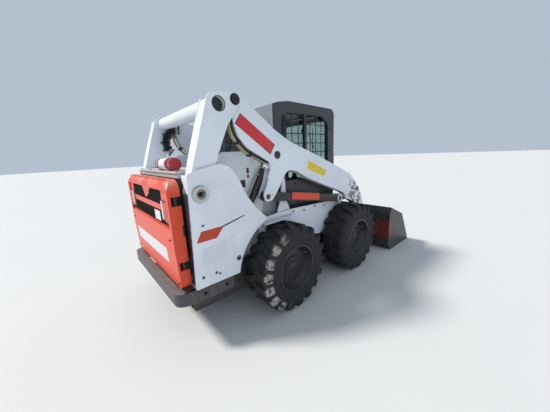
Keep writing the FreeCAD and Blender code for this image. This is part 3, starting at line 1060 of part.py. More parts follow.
def lift_arms():
    """Lift arm with its fork for the control link, its pins, and the member between the arms."""
    body = right_slab(ARM_BACK + ARM_FRONT + ARM_OVER_TYRE + ARM_UNDER, ARM_INNER_Y, ARM_OUTER_Y)
    slot = right_slab(ARM_SLOT, ARM_INNER_Y + ARM_CHEEK, ARM_OUTER_Y - ARM_CHEEK)
    arch = right_rod((FRONT_AXLE_X, AXLE_HEIGHT), ARM_ARCH_RADIUS, ARM_INNER_Y - OVERCUT, ARM_OUTER_Y + OVERCUT)
    bore = right_rod(LINK_TOP, TOP_PIN_RADIUS + PIN_GAP, ARM_INNER_Y - OVERCUT, ARM_OUTER_Y + OVERCUT)
    body = body.cut(slot).cut(arch).cut(bore)
    pins = [right_rod(centre, radius, reach, ARM_OUTER_Y + 5.0) for centre, radius, reach in
            ((LIFT_EYE, LIFT_PIN_RADIUS, EYE_OUTER_Y + 2.0), (TILT_BASE, LIFT_PIN_RADIUS, EYE_INNER_Y),
             (BUCKET_PIVOT, BUCKET_PIN_RADIUS, COUPLER_HALF - 40.0))]
    right = join([body] + pins)
    save("lift_arm_right", [right])
    save("lift_arm_left", [mirrored(right)])
    x, depth, z0, z1 = CROSS_MEMBER
    half = ARM_INNER_Y - SEAT_GAP
    save("arm_cross_member", [box(x, x + depth, -half, half, z0, z1)])


def link_corner(share, offset, rounding):
    """Corner at a share of the control link's length, offset square to it."""
    dx, dz = CONTROL_FRONT[0] - CONTROL_REAR[0], CONTROL_FRONT[1] - CONTROL_REAR[1]
    length = math.hypot(dx, dz)
    return (CONTROL_REAR[0] + dx * share - dz / length * offset, CONTROL_REAR[1] + dz * share + dx / length * offset,
            rounding)


def control_links():
    half = CONTROL_DEPTH / 2.0
    inner, outer = CONTROL_INNER_Y, CONTROL_OUTER_Y
    bar = [link_corner(share, offset, 0) for share, offset in ((0, half), (1, half), (1, -half), (0, -half))]
    whole = join([right_slab(bar, inner, outer), right_rod(CONTROL_REAR, CONTROL_EYE, inner, outer),
                  right_rod(CONTROL_FRONT, CONTROL_EYE, inner, outer)])
    whole = whole.cut(right_rod(CONTROL_FRONT, CONTROL_PIN_RADIUS + PIN_GAP, inner - OVERCUT, outer + OVERCUT))
    save("control_links", both([whole]))
    top, low = half + 8.0, -half * 0.6
    support = [link_corner(share, offset, 6) for share, offset in
               ((SUPPORT_START, top), (SUPPORT_END, top), (SUPPORT_END, low), (SUPPORT_START, low))]
    save("arm_support", both([right_slab(support, outer + SEAT_GAP, outer + SEAT_GAP + SUPPORT_PLATE)]))


def cylinders():
    for name, base, eye, barrel_length, rod_start in CYLINDERS:
        length = math.hypot(eye[0] - base[0], eye[1] - base[1])
        barrel = along(base, eye, BARREL_RADIUS, 20.0, barrel_length, -CYLINDER_Y)
        barrel = barrel.fuse(right_rod(base, BARREL_RADIUS, EYE_INNER_Y, EYE_OUTER_Y))
        bore = along(base, eye, ROD_RADIUS + BORE_GAP, 60.0, barrel_length + OVERCUT, -CYLINDER_Y)
        pin_bore = right_rod(base, LIFT_PIN_RADIUS + PIN_GAP, EYE_INNER_Y - 2.0, EYE_OUTER_Y + 2.0)
        rod = along(base, eye, ROD_RADIUS, rod_start, length - 20.0, -CYLINDER_Y)
        rod = rod.fuse(right_rod(eye, BARREL_RADIUS, EYE_INNER_Y, EYE_OUTER_Y))
        save(name + "_barrels", both([barrel.cut(bore).cut(pin_bore)]))
        save(name + "_rods", both([rod]))


# Coupler and bucket

def coupler_side():
    """Right-hand beam, pivot ear, pivot sleeve and lock lever of the coupler."""
    face = COUPLER_FACE_X - SEAT_GAP
    px, pz = BUCKET_PIVOT
    tx, tz = TILT_EYE
    outer = COUPLER_HALF
    beam = right_box(face - 70.0, face, outer - COUPLER_BEAM, outer, COUPLER_BOTTOM_Z, COUPLER_TOP_Z)
    ear = right_slab([(face - 40.0, pz - 62.0, 0), (px - 30.0, pz - 60.0, 40), (px - 60.0, pz + 10.0, 50),
                      (px - 30.0, pz + 70.0, 40), (tx - 36.0, tz + 30.0, 34), (tx + 20.0, tz + 46.0, 30),
                      (face - 40.0, COUPLER_TOP_Z - 60.0, 0)], outer - 16.0, outer)
    sleeve = right_rod(BUCKET_PIVOT, 52.0, outer - OVERCUT, ARM_INNER_Y - MOVING_GAP)
    y0, y1 = COUPLER_LEVERS
    lever = right_slab([(face - 100.0, COUPLER_TOP_Z + 60.0, 8), (face - 80.0, COUPLER_TOP_Z + 60.0, 8),
                        (face - 40.0, COUPLER_TOP_Z - 20.0, 0), (face - 58.0, COUPLER_TOP_Z - 20.0, 0)], y0, y0 + 20.0)
    pad = right_box(face - 75.0, face - 50.0, y0 - 10.0, y1, COUPLER_TOP_Z - 60.0, COUPLER_TOP_Z - 10.0)
    return [beam, ear, sleeve, lever, pad]


def coupler():
    face = COUPLER_FACE_X - SEAT_GAP
    half = COUPLER_HALF
    top = box(face - 60.0, face, -half, half, COUPLER_TOP_Z - 70.0, COUPLER_TOP_Z)
    low = box(face - 40.0, face, -half, half, COUPLER_BOTTOM_Z, COUPLER_BOTTOM_Z + 70.0)
    whole = join(both(coupler_side()) + [top, low])
    for shape in both([right_rod(BUCKET_PIVOT, BUCKET_PIN_RADIUS + PIN_GAP, half - 41.0, ARM_INNER_Y + OVERCUT)]):
        whole = whole.cut(shape)
    save("coupler", [whole])


def bucket_cheek():
    """Outline of a bucket side: back, heel, floor line and slanted front edge."""
    x0 = COUPLER_FACE_X
    return [(x0 + 55.0, BUCKET_TOP_Z, 6), (x0, BUCKET_TOP_Z - 90.0, 60), (x0, 110.0, 60), (x0 + BUCKET_HEEL, 0.0, 70)]


def bucket():
    t = BUCKET_SHEET
    x0, tip = COUPLER_FACE_X, CUTTING_EDGE_X
    lip = tip - EDGE_LIP
    back = bucket_cheek() + [(lip, 0.0, 0), (lip, t, 0), (x0 + BUCKET_HEEL + 4.0, t, 70), (x0 + t, 114.0, 60),
                             (x0 + t, BUCKET_TOP_Z - 93.0, 60), (x0 + 55.0 + t, BUCKET_TOP_Z - 4.0, 0)]
    sheet = slab(back, "side", -BUCKET_HALF + t, BUCKET_HALF - t)
    cheek = right_slab(bucket_cheek() + [(lip, 0.0, 0), (lip - 30.0, 60.0, 60), (BUCKET_SIDE_X, BUCKET_SIDE_Z, 60)],
                       BUCKET_HALF - t, BUCKET_HALF)
    strip_outline = [(lip - 60.0, 62.0, 0), (lip - 30.0, 62.0, 0), (BUCKET_SIDE_X, BUCKET_SIDE_Z, 20),
                     (BUCKET_SIDE_X - 60.0, BUCKET_SIDE_Z + 10.0, 0)]
    guard = right_slab(strip_outline, BUCKET_HALF - t - 8.0, BUCKET_HALF - t + OVERCUT)
    ribs = [right_slab([(x0 - 24.0, 150.0, 10), (x0 - 24.0, BUCKET_TOP_Z - 140.0, 10), (x0 + 4.0, BUCKET_TOP_Z - 100.0, 0),
                        (x0 + 4.0, 120.0, 0)], y, y + 12.0) for y in BUCKET_RIBS]
    rail = slab([(x0 + 45.0, BUCKET_TOP_Z - 30.0, 0), (x0 + 45.0, BUCKET_TOP_Z, 4), (x0 + 85.0, BUCKET_TOP_Z, 4),
                 (x0 + 60.0, BUCKET_TOP_Z - 22.0, 0)], "side", -BUCKET_HALF + t, BUCKET_HALF - t)
    save("bucket", [join([sheet, rail] + both([cheek, guard] + ribs))])
    edge = slab([(tip - EDGE_WIDTH, t + SEAT_GAP, 0), (tip - EDGE_WIDTH, t + EDGE_PLATE, 0), (tip - 26.0, t + EDGE_PLATE, 0),
                 (tip, 4.0, 0), (lip + 1.0, 0.0, 0), (lip + 1.0, t + SEAT_GAP, 0)],
                "side", -BUCKET_HALF + t + 12.0, BUCKET_HALF - t - 12.0)
    save("cutting_edge", [edge])


def build():
    os.makedirs("parts", exist_ok=True)
    wheels()
    main_frame()
    axles()
    engine()
    bodywork()
    bumper()
    tailgate()
    tail_details()
    deck()
    cab_body()
    cab_glass()
    floor = CAB_BOTTOM_Z + CAB_FLOOR + SEAT_GAP
    seat(floor)
    controls(floor)
    cab_door()
    rear_links()
    lift_arms()
    control_links()
    cylinders()
    coupler()
    bucket()


build()
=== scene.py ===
import json
import math

import bmesh
import bpy
from mathutils import Matrix, Vector


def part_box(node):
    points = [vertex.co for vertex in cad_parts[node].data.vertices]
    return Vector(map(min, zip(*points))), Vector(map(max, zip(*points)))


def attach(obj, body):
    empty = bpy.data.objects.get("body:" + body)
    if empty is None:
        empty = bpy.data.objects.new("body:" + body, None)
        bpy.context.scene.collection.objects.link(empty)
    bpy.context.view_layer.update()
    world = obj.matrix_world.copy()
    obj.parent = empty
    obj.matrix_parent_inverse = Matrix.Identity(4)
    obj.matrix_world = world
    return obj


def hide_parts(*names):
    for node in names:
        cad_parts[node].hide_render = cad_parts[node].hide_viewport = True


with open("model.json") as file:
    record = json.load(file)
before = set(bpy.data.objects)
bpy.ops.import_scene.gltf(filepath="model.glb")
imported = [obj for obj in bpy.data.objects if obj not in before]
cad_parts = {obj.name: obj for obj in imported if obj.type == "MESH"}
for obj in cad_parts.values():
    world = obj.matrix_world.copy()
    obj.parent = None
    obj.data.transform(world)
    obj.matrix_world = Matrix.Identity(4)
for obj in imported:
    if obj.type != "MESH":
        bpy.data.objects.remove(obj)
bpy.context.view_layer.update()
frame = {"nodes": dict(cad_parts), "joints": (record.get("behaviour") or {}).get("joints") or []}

bl_info = {
    "name": "Skid steer loader",
    "version": (1, 0, 0),
    "blender": (4, 5, 0),
    "location": "View3D > Sidebar > Loader",
    "description": "Dresses the packed frame of a skid steer loader",
    "category": "Object",
}

MM = 0.001
JOINTS = {joint["name"]: joint for joint in frame["joints"]}
AXLE_X = JOINTS["wheel_rear_left_spin"]["pos_m"][0]
AXLE_Z = JOINTS["wheel_rear_left_spin"]["pos_m"][2] / MM
WHEELBASE = (JOINTS["wheel_front_left_spin"]["pos_m"][0] - AXLE_X) / MM
WHEEL_Y = JOINTS["wheel_rear_left_spin"]["pos_m"][1] / MM
SIDES = (("right", -1.0), ("left", 1.0))
LINK_TOP = (-423.0, 0.0, 1905.0)
# How far a thin sheet is sunk into the face under it
SINK = 0.15
X, Y, Z = Vector((1, 0, 0)), Vector((0, 1, 0)), Vector((0, 0, 1))


def pivot(name):
    """Side view place (x, z) of a joint, in millimetres from the rear axle's middle on the ground."""
    x, _, z = JOINTS[name]["pos_m"]
    return (x - AXLE_X) / MM, z / MM


def at(x, y, z):
    """Place in the frame of a point in millimetres from the rear axle's middle on the ground."""
    return Vector((x * MM + AXLE_X, y * MM, z * MM))


def outward(side):
    """Unit vector to one side, -1 being the right."""
    return Vector((0.0, side, 0.0))


def edges_of(node):
    """Lowest and highest corner of a frame node, in millimetres from the rear axle's middle."""
    low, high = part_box(node)
    shift = Vector((AXLE_X, 0.0, 0.0))
    return (low - shift) / MM, (high - shift) / MM


# ---- finishes


class Strength:
    """A number that varies over a surface; Python's operators on it add Math nodes."""

    def __init__(self, finish, socket):
        self.finish = finish
        self.socket = socket

    def maths(self, operation, *terms):
        node = self.finish.node("ShaderNodeMath", {"operation": operation}, dict(enumerate(terms)))
        return Strength(self.finish, node.outputs[0])

    def __add__(self, other):
        return self.maths("ADD", self, other)

    __radd__ = __add__

    def __sub__(self, other):
        return self.maths("SUBTRACT", self, other)

    def __rsub__(self, other):
        return self.maths("SUBTRACT", other, self)

    def __mul__(self, other):
        return self.maths("MULTIPLY", self, other)

    __rmul__ = __mul__

    def __abs__(self):
        return self.maths("ABSOLUTE", self)

    def between(self, low, high):
        """0 at low, 1 at high, smooth between and held outside."""
        node = self.finish.node(
            "ShaderNodeMapRange",
            {"interpolation_type": "SMOOTHSTEP", "clamp": True},
            {"Value": self, "From Min": low, "From Max": high},
        )
        return Strength(self.finish, node.outputs[0])


class Finish:
    """A material in the making, with one Principled shader."""

    def __init__(self, name):
        self.material = bpy.data.materials.new(name)
        self.material.use_nodes = True
        self.tree = self.material.node_tree
        self.tree.nodes.clear()
        self.shader = self.node("ShaderNodeBsdfPrincipled")
        self.node("ShaderNodeOutputMaterial", {}, {"Surface": self.shader.outputs[0]})
        self.coordinates = self.node("ShaderNodeTexCoord").outputs["Object"]

    def node(self, kind, settings=None, sockets=None):
        """Adds a node; its settings are made first, then its sockets get their values or links."""
        made = self.tree.nodes.new(kind)
        for key, value in (settings or {}).items():
            setattr(made, key, value)
        for key, value in (sockets or {}).items():
            self.feed(made.inputs[key], value)
        return made

    def feed(self, socket, value):
        if isinstance(value, Strength):
            value = value.socket
        if isinstance(value, bpy.types.NodeSocket):
            self.tree.links.new(value, socket)
        else:
            socket.default_value = value

    def vector(self, operation, *terms):
        """Outputs of a Vector Math node."""
        return self.node("ShaderNodeVectorMath", {"operation": operation}, dict(enumerate(terms))).outputs

    def stretched(self, stretch):
        """The surface's coordinates, in metres, multiplied along x, y and z."""
        return self.vector("MULTIPLY", self.coordinates, stretch)[0] if stretch else self.coordinates

    def moved(self, place):
        """The surface's coordinates, in metres, from a place."""
        return self.vector("SUBTRACT", self.coordinates, tuple(place))[0]

    def spots(self, scale, detail=4.0, stretch=None, rough=0.55):
        """Cloudy noise round one half."""
        sockets = {
            "Vector": self.stretched(stretch), "Scale": scale, "Detail": detail, "Roughness": rough,
        }
        return Strength(self, self.node("ShaderNodeTexNoise", {}, sockets).outputs["Fac"])

    def cells(self, scale, feature="F1"):
        """Distance to scattered points."""
        sockets = {"Vector": self.coordinates, "Scale": scale}
        node = self.node("ShaderNodeTexVoronoi", {"feature": feature}, sockets)
        return Strength(self, node.outputs["Distance"])

    def part(self, axis, vector=None):
        """One coordinate of the surface, in metres."""
        node = self.node("ShaderNodeSeparateXYZ", {}, {0: vector or self.coordinates})
        return Strength(self, node.outputs[axis])

    def far_from(self, place):
        """Distance in metres from a place."""
        return self.length(self.moved(place))

    def length(self, vector):
        return Strength(self, self.vector("LENGTH", vector)["Value"])

    def edges(self, reach):
        """Near 1 along edges and in corners, 0 on flats."""
        bent = self.node("ShaderNodeBevel", {"samples": 4}, {"Radius": reach}).outputs[0]
        flat = self.node("ShaderNodeNewGeometry").outputs["Normal"]
        dot = Strength(self, self.vector("DOT_PRODUCT", bent, flat)["Value"])
        return (1.0 - dot).between(0.004, 0.12)

    def nooks(self, reach):
        """Near 1 in corners, 0 in the open."""
        settings = {"samples": 6, "only_local": True}
        node = self.node("ShaderNodeAmbientOcclusion", settings, {"Distance": reach})
        return 1.0 - Strength(self, node.outputs["AO"])

    def upward(self):
        """1 where the surface looks up."""
        return self.part("Z", self.node("ShaderNodeNewGeometry").outputs["Normal"]).between(0.4, 0.9)

    def blend(self, share, first, second):
        """Colour that goes from first to second as share goes from 0 to 1."""
        sockets = {0: share, 6: tint(first), 7: tint(second)}
        return self.node("ShaderNodeMix", {"data_type": "RGBA", "clamp_factor": True}, sockets).outputs[2]

    def surface(self, colour, roughness, metallic=0.0, height=None, depth=0.001, rounding=0.0, **fixed):
        """Links the shader and gives back the material. height is a Strength in units of depth metres."""
        self.feed(self.shader.inputs["Base Color"], tint(colour))
        self.feed(self.shader.inputs["Roughness"], roughness)
        self.feed(self.shader.inputs["Metallic"], metallic)
        for key, value in fixed.items():
            self.shader.inputs[key.replace("_", " ")].default_value = value
        sockets = {}
        if rounding:
            sockets["Normal"] = self.node("ShaderNodeBevel", {"samples": 4}, {"Radius": rounding}).outputs[0]
        if height is not None:
            sockets.update({"Height": height, "Distance": depth, "Strength": 1.0})
        if sockets:
            bump = self.node("ShaderNodeBump", {}, sockets)
            self.feed(self.shader.inputs["Normal"], bump.outputs[0])
        return self.material


def tint(colour):
    """Red, green, blue and alpha from a colour of three numbers, or the socket as it is."""
    if isinstance(colour, (bpy.types.NodeSocket, Strength)):
        return colour
    return (*tuple(colour)[:3], 1.0)


def shade(colour, factor):
    return tuple(min(1.0, part * factor) for part in tuple(colour)[:3])


DUST = (0.27, 0.25, 0.225)
RUST = (0.16, 0.06, 0.025)
# Near-black of grease; also the colour of the painted shade ring on the lift arms
GREASE_AND_SHADE = (0.012, 0.011, 0.010)
PRIMER = (0.09, 0.085, 0.08)
SCRATCH_DARK = (0.2, 0.2, 0.2)
RUBBER_MARK = (0.03, 0.03, 0.032)
OLD_RED = (0.20, 0.022, 0.022)
CRACK_GREY = (0.25, 0.24, 0.23)
BLEACHED = (0.66, 0.66, 0.65)
PALE_PAINT = 1.6
ARM_KNEE = (1385.0, 0.0, 930.0)
RED_PATCH = (1885.0, -850.0, 330.0)


def painted(name, colour, gloss, dust, chips, bare=PRIMER, extra=None, faded=None, soft=0.0035):
    """Sprayed metal with mottling, rain runs, dust in the corners, chipped edges and fine scratches."""
    finish = Finish(name)
    broad = finish.spots(2.6, 3.0)
    fine = finish.spots(48.0, 6.0)
    grain = finish.spots(310.0, 2.0)
    runs = finish.spots(1.0, 5.0, (24.0, 24.0, 1.8)).between(0.50, 0.74)
    edge = finish.edges(0.006)
    nook = finish.nooks(0.07)
    low = finish.part("Z").between(1.1, 0.15)
    film = finish.upward() * 0.40 + nook * 0.85 + low * 0.40 + runs * 0.32
    film = (film * (fine * 1.3 + broad * 0.7 - 0.25) * dust).between(0.02, 0.62)
    scratch = finish.spots(1.0, 2.0, (7.0, 7.0, 210.0), 0.3).between(0.735, 0.76)
    scratch = scratch * finish.spots(4.0, 2.0).between(0.5, 0.62)
    chip = (edge * (fine * 1.5 + broad * 0.5 - 0.55)).between(0.62 - chips * 0.5, 0.80 - chips * 0.45)
    pits = finish.cells(26.0).between(0.09, 0.05) * finish.spots(5.0, 2.0).between(0.56, 0.66)
    chip = chip.maths("MAXIMUM", chip, pits * min(1.0, chips * 2.0))
    body = finish.blend(broad.between(0.3, 0.7), shade(colour, 0.93), shade(colour, 1.05))
    if faded:
        tone, low_z, high_z = faded
        sun = finish.part("Z").between(low_z, high_z) * finish.spots(7.0, 5.0).between(0.36, 0.62)
        body = finish.blend(sun * 0.8, body, tone)
    scored = shade(colour, 1.45) if sum(tuple(colour)[:3]) < PALE_PAINT else SCRATCH_DARK
    body = finish.blend(scratch * 0.45, body, scored)
    body = finish.blend(film, body, DUST)
    if extra:
        body, chip = extra(finish, body, chip, fine)
    body = finish.blend(chip, body, finish.blend(broad.between(0.45, 0.6), bare, RUST))
    rough = gloss + film * 0.42 + chip * 0.2 + scratch * 0.15 + (fine - 0.5) * 0.10
    height = grain * 0.10 - chip * 0.8 - scratch * 0.25 + film * fine * 0.35
    coat = {"Coat_Weight": 0.12, "Coat_Roughness": 0.25}
    return finish.surface(body, rough, chip * 0.55, height, 0.0006, soft, **coat)


def arm_scuffs_and_shade(finish, body, chip, fine):
    """Rubber scuffs at the lift arms' front knee."""
    flat = finish.vector("MULTIPLY", finish.moved(at(*ARM_KNEE)), (1.0, 0.0, 0.72))[0]
    near = finish.length(flat).between(0.30, 0.10)
    strokes = finish.spots(1.0, 4.0, (11.0, 9.0, 34.0), 0.62)
    blots = finish.spots(17.0, 5.0)
    marks = (strokes * 0.6 + blots * 0.6 + near * 0.12).between(0.715, 0.745) * near
    body = finish.blend(marks * 0.9, body, RUBBER_MARK)
    # Painted shade: a dark ring on the arm round the rear link's top pin
    painted_shade_ring = finish.far_from(at(*LINK_TOP)).between(0.112, 0.090) * (0.7 + fine * 0.4)
    return finish.blend(painted_shade_ring, body, GREASE_AND_SHADE), chip


def bucket_fade(finish, body, chip, fine):
    """Worn patch of old red paint on the bucket's back."""
    near = finish.far_from(at(*RED_PATCH)).between(0.26, 0.08)
    patch = (near * (finish.spots(16.0, 5.0) * 1.5)).between(0.36, 0.66)
    return finish.blend(patch * 0.8, body, OLD_RED), chip


def bare_steel(name, colour, rough, rust, streak=(4.0, 4.0, 4.0)):
    """Bare worked steel with drawn marks, stains and rust bloom."""
    finish = Finish(name)
    marks = finish.spots(60.0, 5.0, streak)
    bloom = finish.spots(9.0, 6.0)
    fine = finish.spots(130.0, 4.0)
    stain = bloom.between(0.72 - rust * 0.4, 0.88 - rust * 0.3)
    body = finish.blend(marks, shade(colour, 0.7), shade(colour, 1.25))
    body = finish.blend(stain, body, finish.blend(fine, RUST, shade(RUST, 2.2)))
    # Near-black towards the corners
    body = finish.blend(finish.nooks(0.04) * 0.6, body, GREASE_AND_SHADE)
    roughness = rough + stain * 0.4 + (marks - 0.5) * 0.25
    return finish.surface(body, roughness, 0.92 - stain * 0.8, marks * 0.6 + fine * stain, 0.0005, 0.002)


def chrome(name):
    """Hard chrome with an oil film and fine rings."""
    finish = Finish(name)
    film = finish.spots(14.0, 4.0).between(0.5, 0.75)
    fine = finish.spots(400.0, 2.0)
    body = finish.blend(film, (0.78, 0.79, 0.80), (0.46, 0.45, 0.42))
    return finish.surface(body, 0.09 + film * 0.22 + (fine - 0.5) * 0.05, 1.0, fine, 0.00004)


def rubber(name, colour, dust, scuff=None):
    """Tyre and hose rubber: chalky, dusty in the grooves, brushed on the crown."""
    finish = Finish(name)
    fine = finish.spots(90.0, 6.0)
    broad = finish.spots(7.0, 4.0)
    nook = finish.nooks(0.05)
    body = finish.blend(broad, shade(colour, 0.75), shade(colour, 1.35))
    film = ((nook * 0.5 + broad * 0.8) * (fine + 0.2)).between(0.30, 0.95) * dust
    body = finish.blend(film, body, shade(DUST, 0.55))
    rough = 0.72 + film * 0.2 - broad.between(0.6, 0.8) * 0.12
    height = fine * 0.7 + broad * 0.3
    # Painted sunlight on the lug ends, for the tyre that gets it
    if scuff:
        body, rough = scuff(finish, body, rough, fine)
    return finish.surface(body, rough, 0.0, height, 0.0009, 0.002, Specular_IOR_Level=0.42)


def lug_sunlight(first, last, amount):
    """Painted sunlight on the lug ends: pale between two angles about the wheel's axle, in degrees."""

    def scuff(finish, body, rough, fine):
        x, y, z = (finish.part(axis) for axis in "XYZ")
        squares = x * x + z * z
        radius = squares.maths("SQRT", squares)
        angle = z.maths("ARCTAN2", z, 0.0 - x) * (180.0 / math.pi)
        middle, half = 180.0 - (first + last) / 2.0, (last - first) / 2.0
        window = abs(angle - middle).between(half, half * 0.55)
        outer = y.between(-0.118, -0.136) * radius.between(0.318, 0.335) * radius.between(0.415, 0.398)
        patches = finish.spots(26.0, 5.0).between(0.38, 0.54)
        beat = angle * math.radians(LUGS) - math.radians(LUG_END_BEAT)
        on_lug = beat.maths("COSINE", beat).between(-0.85, -0.25)
        shoulder = radius.between(0.376, 0.390)
        # Pale painted sunlight on the lug ends inside the window of angles
        sunlit = window * outer * patches * on_lug.maths("MAXIMUM", on_lug, shoulder) * amount
        body = finish.blend(sunlit, body, finish.blend(fine, (0.27, 0.245, 0.215), (0.50, 0.47, 0.43)))
        return body, rough + sunlit * 0.15

    return scuff


def plastic(name, colour, gloss):
    """Moulded plastic with a fine leather-like grain and scuffs."""
    finish = Finish(name)
    pores = finish.cells(260.0)
    fine = finish.spots(60.0, 5.0)
    film = (finish.nooks(0.04) * 0.6 + finish.upward() * 0.35).between(0.1, 0.9) * (fine * 0.8)
    body = finish.blend(finish.spots(5.0, 3.0), shade(colour, 0.85), shade(colour, 1.2))
    body = finish.blend(film * 0.5, body, DUST)
    rough = gloss + film * 0.3 + (fine - 0.5) * 0.15
    return finish.surface(body, rough, 0.0, pores + fine * 0.4, 0.00025, 0.002)


def vinyl(name, colour):
    """Seat vinyl with a pebbled grain, worn smooth on the crowns."""
    finish = Finish(name)
    pebble = finish.cells(330.0, "SMOOTH_F1")
    crease = finish.spots(22.0, 6.0)
    worn = finish.spots(6.0, 3.0).between(0.5, 0.7)
    body = finish.blend(crease, shade(colour, 0.7), shade(colour, 1.5))
    body = finish.blend(finish.upward() * worn * 0.35, body, DUST)
    height = pebble * (1.0 - worn * 0.6) + crease * 0.8
    rough = 0.42 + worn * 0.18 + (crease - 0.5) * 0.2
    return finish.surface(body, rough, 0.0, height, 0.0005)


def glazing(name, colour):
    """Tinted window glass with a little dust."""
    finish = Finish(name)
    film = finish.spots(5.0, 5.0).between(0.42, 0.8)
    smear = finish.spots(1.0, 4.0, (30.0, 30.0, 3.0)).between(0.55, 0.8)
    body = finish.blend(film, colour, shade(colour, 0.86))
    rough = 0.015 + film * 0.05 + smear * 0.05
    return finish.surface(body, rough, 0.0, None, Transmission_Weight=1.0, IOR=1.33)


def lens(name, colour, painted_glint):
    """Ribbed lamp plastic with painted glints: light and dark cells."""
    finish = Finish(name)
    ribs = abs(finish.part("Z").maths("SINE", finish.part("Z") * 700.0))
    cell = finish.cells(150.0)
    # Painted glints: ribs and cells lighter and darker than the lens's own colour
    body = finish.blend(ribs * 0.5 + cell * 0.5, shade(colour, 0.55), shade(colour, painted_glint))
    dusty = finish.spots(24.0, 5.0).between(0.45, 0.75)
    body = finish.blend(dusty * 0.12, body, DUST)
    return finish.surface(body, 0.26 + dusty * 0.4, 0.0, ribs * 0.7 + cell * 0.3, 0.0005, Coat_Weight=0.15)


def sticker(name, colour, torn, crackle):
    """Printed film without any writing: faded, cracked and grubby."""
    finish = Finish(name)
    fine = finish.spots(120.0, 6.0)
    broad = finish.spots(14.0, 5.0)
    crack = finish.cells(70.0, "DISTANCE_TO_EDGE").between(0.03, 0.0) * broad.between(0.5, 0.6)
    worn = (fine * 0.6 + broad * 0.6).between(0.78 - crackle * 0.3, 0.90 - crackle * 0.3)
    body = finish.blend(broad, shade(colour, 0.82), shade(colour, 1.12))
    body = finish.blend(worn * 0.55, body, BLEACHED)
    body = finish.blend(crack, body, torn)
    runs = finish.spots(1.0, 5.0, (30.0, 30.0, 2.0)).between(0.52, 0.75)
    body = finish.blend(runs * 0.25, body, DUST)
    return finish.surface(body, 0.40 + worn * 0.25, 0.0, fine * 0.4 - crack, 0.0002)


def pale_floor(name, colour):
    finish = Finish(name)
    fine = finish.spots(60.0, 6.0)
    broad = finish.spots(0.6, 4.0)
    body = finish.blend(broad, shade(colour, 0.97), shade(colour, 1.02))
    return finish.surface(body, 0.78 + (fine - 0.5) * 0.1, 0.0, fine, 0.0006)


# ---- mesh forms


def across(axis):
    """Two unit vectors square to an axis."""
    axis = Vector(axis).normalized()
    aside = Y if abs(axis.dot(Z)) > 0.9 else Z
    first = axis.cross(aside).normalized()
    return first, axis.cross(first).normalized()


def rounded(outline, steps=5):
    """Closed outline of (a, b, radius) corners with each corner turned into an arc."""
    points = []
    count = len(outline)
    for i, (a, b, radius) in enumerate(outline):
        here = Vector((a, b))
        back = Vector(outline[i - 1][:2]) - here
        ahead = Vector(outline[(i + 1) % count][:2]) - here
        if radius <= 0.0:
            points.append(here)
            continue
        half = back.angle(ahead) / 2.0
        cut = min(radius / math.tan(half), 0.46 * back.length, 0.46 * ahead.length)
        start, end = here + back.normalized() * cut, here + ahead.normalized() * cut
        for step in range(steps + 1):
            t = step / steps
            points.append(start * (1 - t) ** 2 + here * 2 * t * (1 - t) + end * t * t)
    return points


def smooth_path(points, steps=6):
    """Points on a smooth line through the given ones."""
    points = [Vector(p) for p in points]
    ends = [points[0] * 2 - points[1], *points, points[-1] * 2 - points[-2]]
    line = []
    for i in range(1, len(ends) - 2):
        a, b, c, d = ends[i - 1 : i + 3]
        for step in range(steps):
            t = step / steps
            bend = (2 * a - 5 * b + 4 * c - d) * t * t + (3 * b - a - 3 * c + d) * t ** 3
            line.append(0.5 * (2 * b + (c - a) * t + bend))
    line.append(points[-1])
    return line


